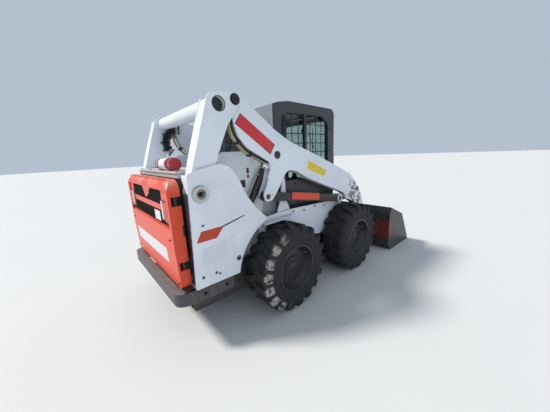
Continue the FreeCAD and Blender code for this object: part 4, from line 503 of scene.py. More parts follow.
class Form:
    """A mesh in the making, in millimetres from the rear axle's middle on the ground."""

    def __init__(self):
        self.mesh = bmesh.new()

    def face(self, corners):
        return self.mesh.faces.new(corners)

    def soften(self, faces, width, segments=2, limit=50.0):
        """Bevels the sharp edges of some faces."""
        sharp = {
            e for f in faces for e in f.edges
            if len(e.link_faces) == 2 and math.degrees(e.calc_face_angle(0.0)) > limit
        }
        bmesh.ops.bevel(
            self.mesh, geom=list(sharp), offset=width, segments=segments, affect="EDGES", clamp_overlap=True
        )

    def block(self, low, high, bevel=0.0, segments=2):
        spans = [(low[i], high[i]) for i in range(3)]
        corners = [self.mesh.verts.new((x, y, z)) for x in spans[0] for y in spans[1] for z in spans[2]]
        sides = ((0, 1, 3, 2), (4, 6, 7, 5), (0, 4, 5, 1), (2, 3, 7, 6), (0, 2, 6, 4), (1, 5, 7, 3))
        faces = [self.face([corners[i] for i in side]) for side in sides]
        if bevel:
            self.soften(faces, bevel, segments)
        return self

    def side_block(self, side, low, high, bevel=0.0, segments=2):
        """Block between two distances from the middle, on one side."""
        y0, y1 = sorted((side * low[1], side * high[1]))
        return self.block((low[0], y0, low[2]), (high[0], y1, high[2]), bevel, segments)

    def rings(self, rings, loop=False):
        """Joins rings of vertices, each a list of places, and closes the ends unless it is a loop."""
        made = [[self.mesh.verts.new(p) for p in ring] for ring in rings]
        pairs = list(zip(made, made[1:]))
        if loop:
            pairs.append((made[-1], made[0]))
        for lower, upper in pairs:
            count = len(lower)
            for i in range(count):
                j = (i + 1) % count
                self.face((lower[i], lower[j], upper[j], upper[i]))
        if not loop:
            self.face(list(reversed(made[0])))
            self.face(made[-1])
        return self

    def turned(self, origin, axis, profile, sides=28, loop=False, phase=0.0):
        """Lathe work: profile is (distance along the axis, radius) pairs."""
        first, second = across(axis)
        axis = Vector(axis).normalized()
        rings = []
        for along, radius in profile:
            centre = Vector(origin) + axis * along
            rings.append([
                centre + (first * math.cos(a) + second * math.sin(a)) * max(radius, 0.01)
                for a in (phase + math.tau * i / sides for i in range(sides))
            ])
        return self.rings(rings, loop)

    def rod(self, start, end, radius, sides=20, bevel=0.0):
        axis = Vector(end) - Vector(start)
        b = min(bevel, radius * 0.5, axis.length * 0.3)
        profile = [(0.0, radius - b), (b, radius), (axis.length - b, radius), (axis.length, radius - b)]
        if not b:
            profile = [(0.0, radius), (axis.length, radius)]
        return self.turned(start, axis, profile, sides)

    def ring(self, origin, axis, inner, outer, thick, sides=32, bevel=0.8):
        b = min(bevel, thick * 0.4, (outer - inner) * 0.3)
        rim = [(0, outer - b), (b, outer), (thick - b, outer), (thick, outer - b)]
        return self.turned(origin, axis, [(0, inner), *rim, (thick, inner)], sides, loop=True)

    def bolt(self, origin, axis, across_flats, washer=True):
        """Hexagon head on a washer, standing on a surface at origin."""
        r, rise, tall = across_flats * 0.577, 0.0, across_flats * 0.62
        if washer:
            rise = across_flats * 0.14
            disc = [(-0.4, r * 1.3), (across_flats * 0.11, r * 1.3), (rise, r * 1.22)]
            self.turned(origin, axis, disc, 20)
        profile = [(rise - 0.3, r), (rise + tall * 0.86, r), (rise + tall, r * 0.84)]
        return self.turned(origin, axis, profile, 6, phase=0.3)

    def side_bolts(self, places, level, side, width):
        """Bolts at (x, z) places on a side face."""
        for x, z in places:
            self.bolt((x, side * level, z), outward(side), width)
        return self

    def plate(self, outline, low, high, bevel=0.0):
        """Flat piece with a rounded outline in the side view, between two levels."""
        points = rounded(outline)
        before = set(self.mesh.faces)
        self.rings([[(p.x, level, p.y) for p in points] for level in (low, high)])
        if bevel:
            self.soften([f for f in self.mesh.faces if f not in before], bevel)
        return self

    def tube(self, points, radius, sides=12, steps=6, smooth=True):
        """Round tube along a smooth line."""
        line = smooth_path(points, steps) if smooth else [Vector(p) for p in points]
        heading = (line[1] - line[0]).normalized()
        first, _ = across(heading)
        rings = []
        for i, here in enumerate(line):
            ahead = line[min(i + 1, len(line) - 1)] - line[max(i - 1, 0)]
            turn = heading.rotation_difference(ahead.normalized())
            heading = ahead.normalized()
            first = turn @ first
            second = heading.cross(first)
            rings.append([
                here + (first * math.cos(a) + second * math.sin(a)) * radius
                for a in (math.tau * k / sides for k in range(sides))
            ])
        return self.rings(rings)

    def piece(self, name, finish, body, slot=None, sharp=38.0, origin=None, replaces=()):
        """Makes the object, which rides on a body. origin is where its coordinates start, in millimetres."""
        bmesh.ops.recalc_face_normals(self.mesh, faces=self.mesh.faces)
        start = Vector(origin) if origin else None
        for v in self.mesh.verts:
            v.co = (v.co - start) * MM if start else at(*v.co)
        limit = math.radians(sharp)
        for f in self.mesh.faces:
            f.smooth = True
        for e in self.mesh.edges:
            if len(e.link_faces) == 2 and e.calc_face_angle(0.0) > limit:
                e.smooth = False
        data = bpy.data.meshes.new(name)
        self.mesh.to_mesh(data)
        self.mesh.free()
        data.materials.append(bpy.data.materials[finish])
        made = bpy.data.objects.new(name, data)
        bpy.context.scene.collection.objects.link(made)
        if start:
            made.location = at(*start)
        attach(made, body)
        if replaces:
            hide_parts(*replaces)
        return made


# ---- what a user would change


def colour_property(name, description, default):
    return bpy.props.FloatVectorProperty(
        name=name, description=description, subtype="COLOR", size=3, min=0.0, max=1.0, default=default
    )


def length_property(name, description, default):
    return bpy.props.FloatProperty(
        name=name, description=description, subtype="DISTANCE", unit="LENGTH", default=default
    )


class LoaderColours(bpy.types.PropertyGroup):
    white: colour_property("White", "Paint of the frame, panels and lift arms", (0.74, 0.775, 0.83))
    orange: colour_property("Orange", "Paint of the tailgate, stripe and arm supports", (0.68, 0.052, 0.010))
    chalk: colour_property("Sun-faded orange", "Tone of the tailgate's top edge", (0.66, 0.25, 0.17))
    charcoal: colour_property("Charcoal", "Paint of the cab", (0.042, 0.046, 0.054))
    grey: colour_property("Grey", "Paint of the cab's rear section", (0.40, 0.42, 0.43))
    black: colour_property("Black", "Paint of wheels, cylinders and links", (0.014, 0.014, 0.016))
    steel_black: colour_property("Frame black", "Paint of the lower frame", (0.030, 0.030, 0.033))
    rubber: colour_property("Rubber", "Tyres and hoses", (0.017, 0.017, 0.018))
    red_plate: colour_property("Red plate", "Blank plate on the lift arms", (0.62, 0.030, 0.035))
    yellow_plate: colour_property("Yellow plate", "Blank plate on the lift arms", (0.78, 0.60, 0.03))
    glass: colour_property("Glass", "Tint of the windows", (0.62, 0.73, 0.69))
    floor: colour_property("Floor", "Stage floor", (0.62, 0.62, 0.61))
    light: colour_property("Sky light", "Soft light all round", (0.74, 0.85, 1.0))


class LoaderSizes(bpy.types.PropertyGroup):
    pipe: length_property("Arm pipe", "Diameter of the steel pipes on the lift arms", 0.018)
    hose: length_property("Hose", "Diameter of the strapped hoses", 0.022)
    pin_bolt: length_property("Pin bolt", "Width across flats of the pin retaining bolts", 0.019)
    panel_bolt: length_property("Panel bolt", "Width across flats of panel and cab bolts", 0.013)
    plate: length_property("Plate thickness", "Thickness of stripes and blank plates", 0.0006)
    lug_chamfer: length_property("Lug chamfer", "Rounding of the tyre lugs", 0.006)
    grille_wire: length_property("Grille wire", "Thickness of the tailgate's mesh", 0.0022)
    floor: length_property("Floor size", "Side of the stage floor", 120.0)


def colours():
    return bpy.context.scene.loader_colours


def size(name):
    """A size of the add-on in millimetres."""
    return getattr(bpy.context.scene.loader_sizes, name) / MM


# ---- the finishes of the frame's nodes

NODE_FINISH = {
    "frame_black": ("main_frame", "axle_hubs"),
    "white_enamel": (
        "side_panel_right", "side_panel_left", "lower_body_right", "lower_body_left", "engine_cover",
        "rear_links", "arm_cross_member",
    ),
    "arm_white": ("lift_arm_right", "lift_arm_left"),
    "deck_grey": ("rear_deck",),
    "tail_orange": ("tailgate",),
    "arm_orange": ("arm_support",),
    "grille_black": ("tailgate_grille", "window_screens"),
    "cab_charcoal": ("cab_frame", "cab_door"),
    "cab_grey": ("cab_rear",),
    "window_glass": ("side_windows", "rear_window", "door_glass"),
    "bottle_red": ("fire_extinguisher",),
    "pin_steel": ("frame_pins",),
    "pin_black": ("link_top_pins",),
    "bumper_black": ("rear_bumper", "coupler"),
    "engine_iron": ("engine_block", "cooler"),
    "satin_black": ("control_links", "lift_barrels", "tilt_barrels"),
    "rod_chrome": ("lift_rods", "tilt_rods"),
    "bucket_black": ("bucket",),
    "edge_steel": ("cutting_edge",),
    "lever_plastic": ("controls",),
    "rim_black": ("rim_rear_left", "rim_rear_right", "rim_front_left", "rim_front_right"),
}

# Name, direction towards it, strength, width of its disc in degrees, colour
SUNS = (
    ("key", (-0.52, 0.42, 0.74), 3.6, 9.0, (1.0, 0.96, 0.90)),
    ("fill", (-0.35, -0.8, 0.5), 0.35, 60, (0.80, 0.90, 1.0)),
)
SKY_STRENGTH = 0.62
CAMERA_PLACE = (-1487.74, -2306.28, 1487.72)
CAMERA_YAW, CAMERA_PITCH, CAMERA_ROLL = 0.8527, -0.2192, -0.0464
SENSOR_WIDTH = 36
FOCAL_PIXELS, IMAGE_WIDTH = 235.17, 550
NEAR_CLIP, FAR_CLIP = 0.05, 300


def camera_turn():
    """The camera's rotation, from its yaw, pitch and roll in radians."""
    level_ahead = math.cos(CAMERA_PITCH)
    ahead = Vector((
        level_ahead * math.cos(CAMERA_YAW), level_ahead * math.sin(CAMERA_YAW), math.sin(CAMERA_PITCH)
    ))
    level = Vector((math.sin(CAMERA_YAW), -math.cos(CAMERA_YAW), 0.0))
    upright = level.cross(ahead)
    right = level * math.cos(CAMERA_ROLL) + upright * math.sin(CAMERA_ROLL)
    up = upright * math.cos(CAMERA_ROLL) - level * math.sin(CAMERA_ROLL)
    return Matrix((right, up, -ahead)).transposed().to_4x4()


class MakeStage(bpy.types.Operator):
    """Makes the floor, the soft light and the camera at the photograph's place"""

    bl_idname = "loader.stage"
    bl_label = "Stage"

    def execute(self, context):
        scene = context.scene
        pale_floor("floor_pale", colours().floor)
        half = scene.loader_sizes.floor / 2.0
        floor = bpy.data.meshes.new("floor")
        corners = [(-half, -half, 0), (half, -half, 0), (half, half, 0), (-half, half, 0)]
        floor.from_pydata(corners, [], [(0, 1, 2, 3)])
        floor.materials.append(bpy.data.materials["floor_pale"])
        ground = bpy.data.objects.new("floor", floor)
        scene.collection.objects.link(ground)

        scene.world = bpy.data.worlds.new("soft_sky")
        scene.world.use_nodes = True
        sky = scene.world.node_tree.nodes["Background"]
        sky.inputs["Color"].default_value = tint(colours().light)
        sky.inputs["Strength"].default_value = SKY_STRENGTH
        for name, towards, energy, angle, colour in SUNS:
            lamp = bpy.data.lights.new(name, "SUN")
            lamp.energy, lamp.angle, lamp.color = energy, math.radians(angle), colour
            made = bpy.data.objects.new(name, lamp)
            made.rotation_euler = Vector(towards).to_track_quat("Z", "Y").to_euler()
            scene.collection.objects.link(made)

        eye = bpy.data.cameras.new("camera")
        eye.sensor_fit, eye.sensor_width = "HORIZONTAL", SENSOR_WIDTH
        eye.lens = SENSOR_WIDTH * FOCAL_PIXELS / IMAGE_WIDTH
        eye.clip_start, eye.clip_end = NEAR_CLIP, FAR_CLIP
        camera = bpy.data.objects.new("camera", eye)
        camera.matrix_world = Matrix.Translation(at(*CAMERA_PLACE)) @ camera_turn()
        scene.collection.objects.link(camera)
        scene.camera = camera
        scene.view_settings.view_transform = "Standard"
        return {"FINISHED"}


class MakeFinishes(bpy.types.Operator):
    """Makes every finish and gives the frame's nodes theirs"""

    bl_idname = "loader.finishes"
    bl_label = "Finishes"

    def execute(self, context):
        self.paints(colours())
        self.metals()
        self.soft_finishes(colours())
        self.films(colours())
        for finish, nodes in NODE_FINISH.items():
            material = bpy.data.materials[finish]
            for node in nodes:
                piece = frame["nodes"][node]
                for held in piece.material_slots:
                    held.material = material
                if not piece.material_slots:
                    piece.data.materials.append(material)
        return {"FINISHED"}

    def paints(self, tone):
        for name, colour, *wear in (
            ("white_enamel", tone.white, 0.34, 0.42, 0.30),
            ("deck_grey", (0.46, 0.465, 0.46), 0.6, 0.5, 0.3),
            ("arm_orange", tone.orange, 0.32, 0.12, 0.35),
            ("stripe_orange", shade(tone.orange, 0.74), 0.30, 0.12, 0.25),
            ("grille_black", (0.095, 0.090, 0.083), 0.62, 0.95, 0.2),
            ("cab_charcoal", tone.charcoal, 0.42, 0.35, 0.22),
            ("cab_grey", tone.grey, 0.45, 0.45, 0.25),
            ("bottle_red", (0.36, 0.006, 0.008), 0.24, 0.12, 0.2),
            ("satin_black", tone.black, 0.38, 0.25, 0.3),
            ("rim_black", tone.black, 0.38, 0.20, 0.36, (0.16, 0.155, 0.15)),
            ("frame_black", tone.steel_black, 0.55, 0.38, 0.4),
            ("bumper_black", shade(tone.steel_black, 1.3), 0.50, 0.5, 0.8, (0.27, 0.265, 0.26)),
            ("pin_black", (0.010, 0.010, 0.011), 0.5, 0.15, 0.5, (0.05, 0.048, 0.046)),
        ):
            painted(name, colour, *wear)
        painted("arm_white", tone.white, 0.34, 0.42, 0.36, extra=arm_scuffs_and_shade)
        painted(
            "tail_orange", tone.orange, 0.38, 0.16, 0.42, (0.62, 0.30, 0.22),
            faded=(tone.chalk, 1.24, 1.34), soft=0.010,
        )
        painted(
            "bucket_black", shade(tone.steel_black, 0.6), 0.44, 0.28, 0.5, (0.11, 0.105, 0.10),
            extra=bucket_fade,
        )

    def metals(self):
        for name, colour, *wear in (
            ("pin_steel", (0.045, 0.043, 0.042), 0.40, 0.30),
            ("ring_steel", (0.52, 0.52, 0.51), 0.24, 0.12, (1.0, 30, 1.0)),
            ("zinc", (0.50, 0.48, 0.42), 0.30, 0.2),
            ("brass", (0.55, 0.47, 0.28), 0.30, 0.15),
            ("edge_steel", (0.30, 0.285, 0.27), 0.34, 0.5, (60, 2.0, 6.0)),
            ("engine_iron", (0.075, 0.073, 0.07), 0.6, 0.3),
            ("fin_alloy", (0.34, 0.34, 0.33), 0.45, 0.1),
            ("bolt_steel", (0.20, 0.195, 0.185), 0.40, 0.35),
            ("bolt_black", (0.035, 0.034, 0.034), 0.45, 0.2),
        ):
            bare_steel(name, colour, *wear)
        chrome("rod_chrome")

    def soft_finishes(self, tone):
        for name, colour, *wear in (
            ("tyre_dusty", tone.rubber, 0.45),
            # This tyre finish carries painted sunlight on its lug ends
            ("tyre_scuffed", tone.rubber, 0.45, lug_sunlight(100, 258, 0.95)),
            ("hose_rubber", shade(tone.rubber, 0.9), 0.25),
            ("seal_rubber", shade(tone.rubber, 0.8), 0.2),
            ("hose_sleeve", (0.085, 0.062, 0.035), 0.5),
        ):
            rubber(name, colour, *wear)
        plastic("lever_plastic", (0.024, 0.024, 0.026), 0.5)
        plastic("cap_plastic", (0.016, 0.016, 0.017), 0.42)
        plastic("orange_knob", (0.50, 0.09, 0.02), 0.4)
        vinyl("seat_vinyl", (0.022, 0.022, 0.024))

    def films(self, tone):
        glazing("window_glass", tone.glass)
        lens("lens_red", (0.46, 0.006, 0.007), 1.3)
        lens("lens_clear", (0.78, 0.79, 0.78), 1.15)
        for name, colour, crack, crackle in (
            ("plate_red", tone.red_plate, (0.30, 0.02, 0.02), 0.12),
            ("plate_dark", (0.020, 0.018, 0.018), CRACK_GREY, 0.1),
            ("plate_yellow", tone.yellow_plate, (0.25, 0.18, 0.02), 0.25),
            ("plate_white", (0.70, 0.70, 0.71), CRACK_GREY, 0.3),
            ("plate_film", shade(tone.white, 0.93), CRACK_GREY, 0.2),
        ):
            sticker(name, colour, crack, crackle)


# ---- wheels

LUGS = 18
LUG_PITCH = 360 / LUGS
LUG_SPAN = 8.5
LUG_LEAN = 7.0
LUG_PHASE = -95.6
LUG_FOOT = 0.7
# Phase of the lugs' outer ends on the right, in degrees of one lug's turn
LUG_END_BEAT = 84.6
# Stations of a lug from the middle to the sidewall: base share and radius, top share and radius
LUG_STATIONS = (
    (-0.055, 391, -0.035, 414), (-0.045, 391, -0.020, 418.8), (0.30, 391, 0.30, 418.8),
    (0.70, 391, 0.72, 418.8), (0.80, 381, 0.81, 417), (0.88, 366, 0.905, 405),
    (0.94, 348, 0.975, 380), (0.965, 334, 0.996, 350), (0.975, 322, 0.998, 326),
    (0.975, 312, 0.990, 313),
)
# The carcass from the crown to the bead: share of the half width, and radius
CARCASS = (
    (0.0, 391), (0.72, 391), (0.81, 382), (0.89, 365), (0.945, 347), (0.978, 331),
    (0.988, 321), (0.986, 312), (0.996, 309), (0.996, 303), (0.984, 300), (0.974, 282),
    (0.968, 264), (0.977, 259), (0.977, 247), (0.955, 238), (0.92, 235), (0.88, 231),
    (0.86, 223.4),
)
HUB_FACE = 71.5
HUB_CAP = ((-1, 46), (4, 46), (9, 42), (13, 34), (15, 20), (15.5, 6))
HUB_RING = (60, 72, 4.0)
HUB_BOLT_CIRCLE, HUB_BOLT_RISE, HUB_BOLT = 66, 2.5, 9.0
STUD_CIRCLE, STUD_FACE = 101.5, 57
STUD_NUT = ((0, 19), (2.5, 19), (4.5, 16.5))
STUD_END = ((18, 5.6), (30, 5.6), (31.5, 4.4))
EIGHTHS = [math.tau * (i + 0.5) / 8.0 for i in range(8)]
VALVE_ROOT = (150, 66, 96)
VALVE_CAP = ((0, 6), (2, 6.4), (14, 6.4), (16, 5))


def wheels():
    """Name, side (-1 on the right) and middle of each wheel."""
    for end, x in (("rear", 0.0), ("front", WHEELBASE)):
        for side, out in SIDES:
            yield end + "_" + side, out, Vector((x, out * WHEEL_Y, AXLE_Z))


def on_wheel(centre, radius, turn, depth):
    """Place on a circle about an axle, depth along it."""
    return centre + Vector((radius * math.cos(turn), depth, radius * math.sin(turn)))


class MakeTyres(bpy.types.Operator):
    """Makes the four tyres with rounded, leaning lugs and ridged sidewalls"""

    bl_idname = "loader.tyres"
    bl_label = "Tyres"

    def execute(self, context):
        low, high = edges_of("tyre_rear_left")
        half = (high.y - low.y) / 2.0
        chamfer = size("lug_chamfer")
        loop = [(share * half, radius) for share, radius in CARCASS]
        loop += [(-share * half, radius) for share, radius in reversed(CARCASS[1:])]
        for name, out, centre in wheels():
            form = Form().turned(centre, Y, loop, 96, loop=True)
            for lug in range(LUGS):
                for hand, start in ((1.0, lug * LUG_PITCH), (-1.0, (lug + 0.5) * LUG_PITCH)):
                    form.rings([
                        self.section(station, hand * out, start, half, centre, chamfer)
                        for station in LUG_STATIONS
                    ])
            # The rear right tyre gets painted sunlight on its lug ends
            tyre, finish = "tyre_" + name, "tyre_scuffed" if name == "rear_right" else "tyre_dusty"
            form.piece(tyre + "_tread", finish, "wheel_" + name, "tyre_rubber", 30, centre, (tyre,))
        return {"FINISHED"}

    def section(self, station, hand, start, half, centre, chamfer):
        """One cut across a lug: base, chamfer and top on both sides."""
        base_share, base_radius, top_share, top_radius = station
        middle = start + LUG_SPAN / 2.0
        inset = math.degrees(chamfer / top_radius)
        rise = min(0.4, chamfer / max(1.0, top_radius - base_radius))
        flank_share = top_share + (base_share - top_share) * rise
        flank_radius = top_radius + (base_radius - top_radius) * rise
        reach = LUG_SPAN / 2.0
        flank = (
            (base_share, base_radius, reach + LUG_FOOT), (flank_share, flank_radius, reach),
            (top_share, top_radius, reach - inset),
        )
        ring = [(share, radius, -offset) for share, radius, offset in flank] + list(reversed(flank))
        return [
            on_wheel(
                centre, radius, math.radians(LUG_PHASE + middle + offset + LUG_LEAN * share),
                hand * share * half,
            )
            for share, radius, offset in ring
        ]


class MakeWheelDetails(bpy.types.Operator):
    """Makes the hub caps, their small bolts and the tyre valves"""

    bl_idname = "loader.wheel_details"
    bl_label = "Wheel details"

    def execute(self, context):
        for name, sign, centre in wheels():
            body = "wheel_" + name
            out = outward(sign)
            face = centre + out * HUB_FACE
            cap = Form().turned(face, out, HUB_CAP, 36)
            cap.ring(face - out, out, *HUB_RING, 36)
            studs = Form()
            for turn in EIGHTHS:
                cap.bolt(on_wheel(face, HUB_BOLT_CIRCLE, turn, sign * HUB_BOLT_RISE), out, HUB_BOLT)
                spot = on_wheel(centre, STUD_CIRCLE, turn, sign * STUD_FACE)
                studs.turned(spot, out, STUD_NUT, 20)
                studs.turned(spot, out, STUD_END, 12)
            cap.piece(body + "_cap", "rim_black", body, "black_paint")
            studs.piece(body + "_studs", "bolt_steel", body, "black_paint")
            x, y, z = VALVE_ROOT
            root = centre + Vector((x, sign * y, z))
            stem = [root - out * 14, root + out * 8, root + out * 24 + Vector((6, 0, 4))]
            valve = Form().tube(stem, 4.2, 12)
            valve.turned(root + out * 22 + Vector((5.5, 0, 3.7)), out + Vector((0.3, 0, 0.2)), VALVE_CAP, 14)
            valve.piece(body + "_valve", "brass", body)
        return {"FINISHED"}


# ---- body panels

PANEL_FACE = 699
STRIPE = ((-860, 868), (-817, 950), (-626, 954), (-696, 870))
PIN_LINE = ((-640, 954), (-430, 1000), (-424, 994), (-500, 974), (-636, 943))
FILM = ((-826, 668), (-826, 812), (-618, 836), (-618, 700))
PANEL_BOLTS = ((-798, 992), (-700, 572))
PANEL_HOLES = ((-838, 588), (-728, 588))
# Distance of the tie-down hole from the rear axle, and its height over it
TIE_DOWN_REACH, TIE_DOWN_RISE = 558, 221
BOSS_FACE, BOSS_BOLT_FACE = 718, 710.5
WALL_FACE = 600
WALL_BOLTS = (
    (-120, 720), (260, 880), (430, 860), (620, 872), (800, 850), (980, 780),
    (1110, 660),
)
TOWER_FACE = 504
TOWER_PLATES = (
    ("dark", "plate_dark", -322, -262, 1196, 1266),
    ("red", "plate_red", -240, -214, 1278, 1312),
    ("pale", "plate_white", -196, -150, 1392, 1452),
    ("small", "plate_dark", -240, -214, 1320, 1372),
)
BUMPER_BOLTS = ((-830, 446), (-640, 446))
LOCK_PIN = ((0, 4), (5, 4), (7, 2.5))


def decal(name, finish, body, outline, level, out, corner, slot=None):
    """Thin sheet on a side face at level, out being -1 on the right and 1 on the left."""
    low, high = sorted((level - out * SINK, level + out * size("plate")))
    Form().plate([(x, z, corner) for x, z in outline], low, high).piece(name, finish, body, slot)


class MakePanels(bpy.types.Operator):
    """Makes the stripes, blank films, bolts and bosses of the side panels"""

    bl_idname = "loader.panels"
    bl_label = "Side panels"

    def execute(self, context):
        ax, az = pivot("rear_link_swing")
        hole_x = -math.sqrt(TIE_DOWN_REACH ** 2 - TIE_DOWN_RISE ** 2)
        for side, sign in SIDES:
            face, out = sign * PANEL_FACE, outward(sign)
            decal("stripe_" + side, "stripe_orange", "chassis", STRIPE, face, sign, 3.0, "orange_paint")
            decal("stripe_line_" + side, "plate_dark", "chassis", PIN_LINE, face, sign, 2.0)
            decal("film_" + side, "plate_film", "chassis", FILM, face, sign, 12, "white_paint")
            bolts = Form().side_bolts(PANEL_BOLTS, PANEL_FACE, sign, size("panel_bolt"))
            bolts.piece("panel_bolts_" + side, "bolt_steel", "chassis", "pin_steel")
            boss = Form().ring((ax, sign * BOSS_FACE, az), out, 43, 58.5, 4.0, 48, 1.6)
            boss.ring((ax, face, az), out, 57, 64, 3.0, 48, 1.2)
            boss.piece("boss_ring_" + side, "ring_steel", "chassis", "pin_steel")
            bolt = Form().bolt((ax, sign * BOSS_BOLT_FACE, az), out, 26)
            bolt.turned((ax + 24, sign * BOSS_BOLT_FACE, az + 14), out, LOCK_PIN, 12)
            bolt.piece("boss_bolt_" + side, "bolt_black", "chassis", "pin_steel")
            rims = Form()
            for x, z in PANEL_HOLES:
                rims.ring((x, face - sign * 0.3, z), out, 8.3, 12.5, 1.6, 24, 0.5)
            rims.ring((hole_x, face - sign * 0.3, AXLE_Z + TIE_DOWN_RISE), out, 17.3, 24, 2.4, 32, 0.8)
            rims.piece("hole_rims_" + side, "bolt_steel", "chassis", "pin_steel")
        return {"FINISHED"}


class MakeLowerBody(bpy.types.Operator):
    """Makes the bolts of the fender walls and the blank plates of the tower"""

    bl_idname = "loader.lower_body"
    bl_label = "Lower body"

    def execute(self, context):
        pin_end = edges_of("lower_body_left")[1].y
        for side, sign in SIDES:
            bolts = Form().side_bolts(WALL_BOLTS, WALL_FACE, sign, size("panel_bolt"))
            bolts.piece("wall_bolts_" + side, "bolt_steel", "chassis", "pin_steel")
            pin = Form().side_bolts((pivot("control_link_swing"),), pin_end, sign, 22)
            pin.piece("control_pin_bolt_" + side, "bolt_steel", "chassis", "pin_steel")
            face = sign * TOWER_FACE
            for name, finish, x0, x1, z0, z1 in TOWER_PLATES:
                card = ((x0, z0), (x0, z1), (x1, z1), (x1, z0))
                decal("tower_plate_" + name + "_" + side, finish, "chassis", card, face, sign, 4.0)
        return {"FINISHED"}


class MakeBumper(bpy.types.Operator):
    """Makes the bumper's bolts and the non-slip pads on its corners"""

    bl_idname = "loader.bumper"
    bl_label = "Bumper"

    def execute(self, context):
        high = edges_of("rear_bumper")[1]
        bolts, pads = Form(), Form()
        for _, sign in SIDES:
            bolts.side_bolts(BUMPER_BOLTS, high.y, sign, size("pin_bolt"))
            pads.side_block(sign, (-980, 641, high.z - 0.3), (-820, 669, high.z + 2.2), 1.0)
        bolts.piece("bumper_bolts", "bolt_black", "chassis", "black_steel")
        pads.piece("bumper_pads", "seal_rubber", "chassis", "black_steel")
        return {"FINISHED"}


# ---- tailgate and deck

CREASE_Z, LEAN = 850, 15 / 333
POCKET_DEPTH, POCKET_Z = 12, (985, 1275)
LENS_LOW, LENS_HIGH = 1044.5, 1185.5
LENS_RIBS = (1078, 1112, 1146)
LAMP_SCREWS = (1052, 1178)
TAIL_SCREWS = ((572, 1262), (572, 998), (200, 1262), (560, 900), (596, 560))
# The mesh openings: low and high edge and half width
MESH_OPENINGS = ((1000, 1102, 436), (1152, 1258, 446))
MESH_PITCH = 11
TAIL_BAND = ((-430, 681, 8.0), (-430, 804, 8.0), (510, 804, 8.0), (510, 681, 8.0))
TAIL_LOCK = ((0, 13), (2.0, 13), (2.8, 11), (2.8, 5))
CROWN_DROP, CROWN_DEPTH, CROWN_WALL, CROWN_CORNER = 76, 62, 16, 90
BOTTLE_RADIUS = 48
BOTTLE_VALVE = ((0, 20), (6, 22), (26, 22), (30, 16), (44, 16))
BOTTLE_GAUGE = ((0, 9), (6, 10), (9, 10), (10, 8))
BOTTLE_BASE = ((0, 40), (0.8, 40), (1.0, 38), (0.8, 20), (0.8, 4))
COVER_TOP, COVER_NET, COVER_WIRES = 1392, (1374.4, 1375.6), 34
COVER_PULL = ((-60, 1391), (-60, 1412), (-40, 1420), (40, 1420), (60, 1412), (60, 1391))


def tail_face(z):
    """Distance of the tailgate's rear face from the rear axle at a height; it leans in under the crease."""
    return edges_of("tailgate")[0].x + max(0.0, LEAN * (CREASE_Z - z) - 1.0)


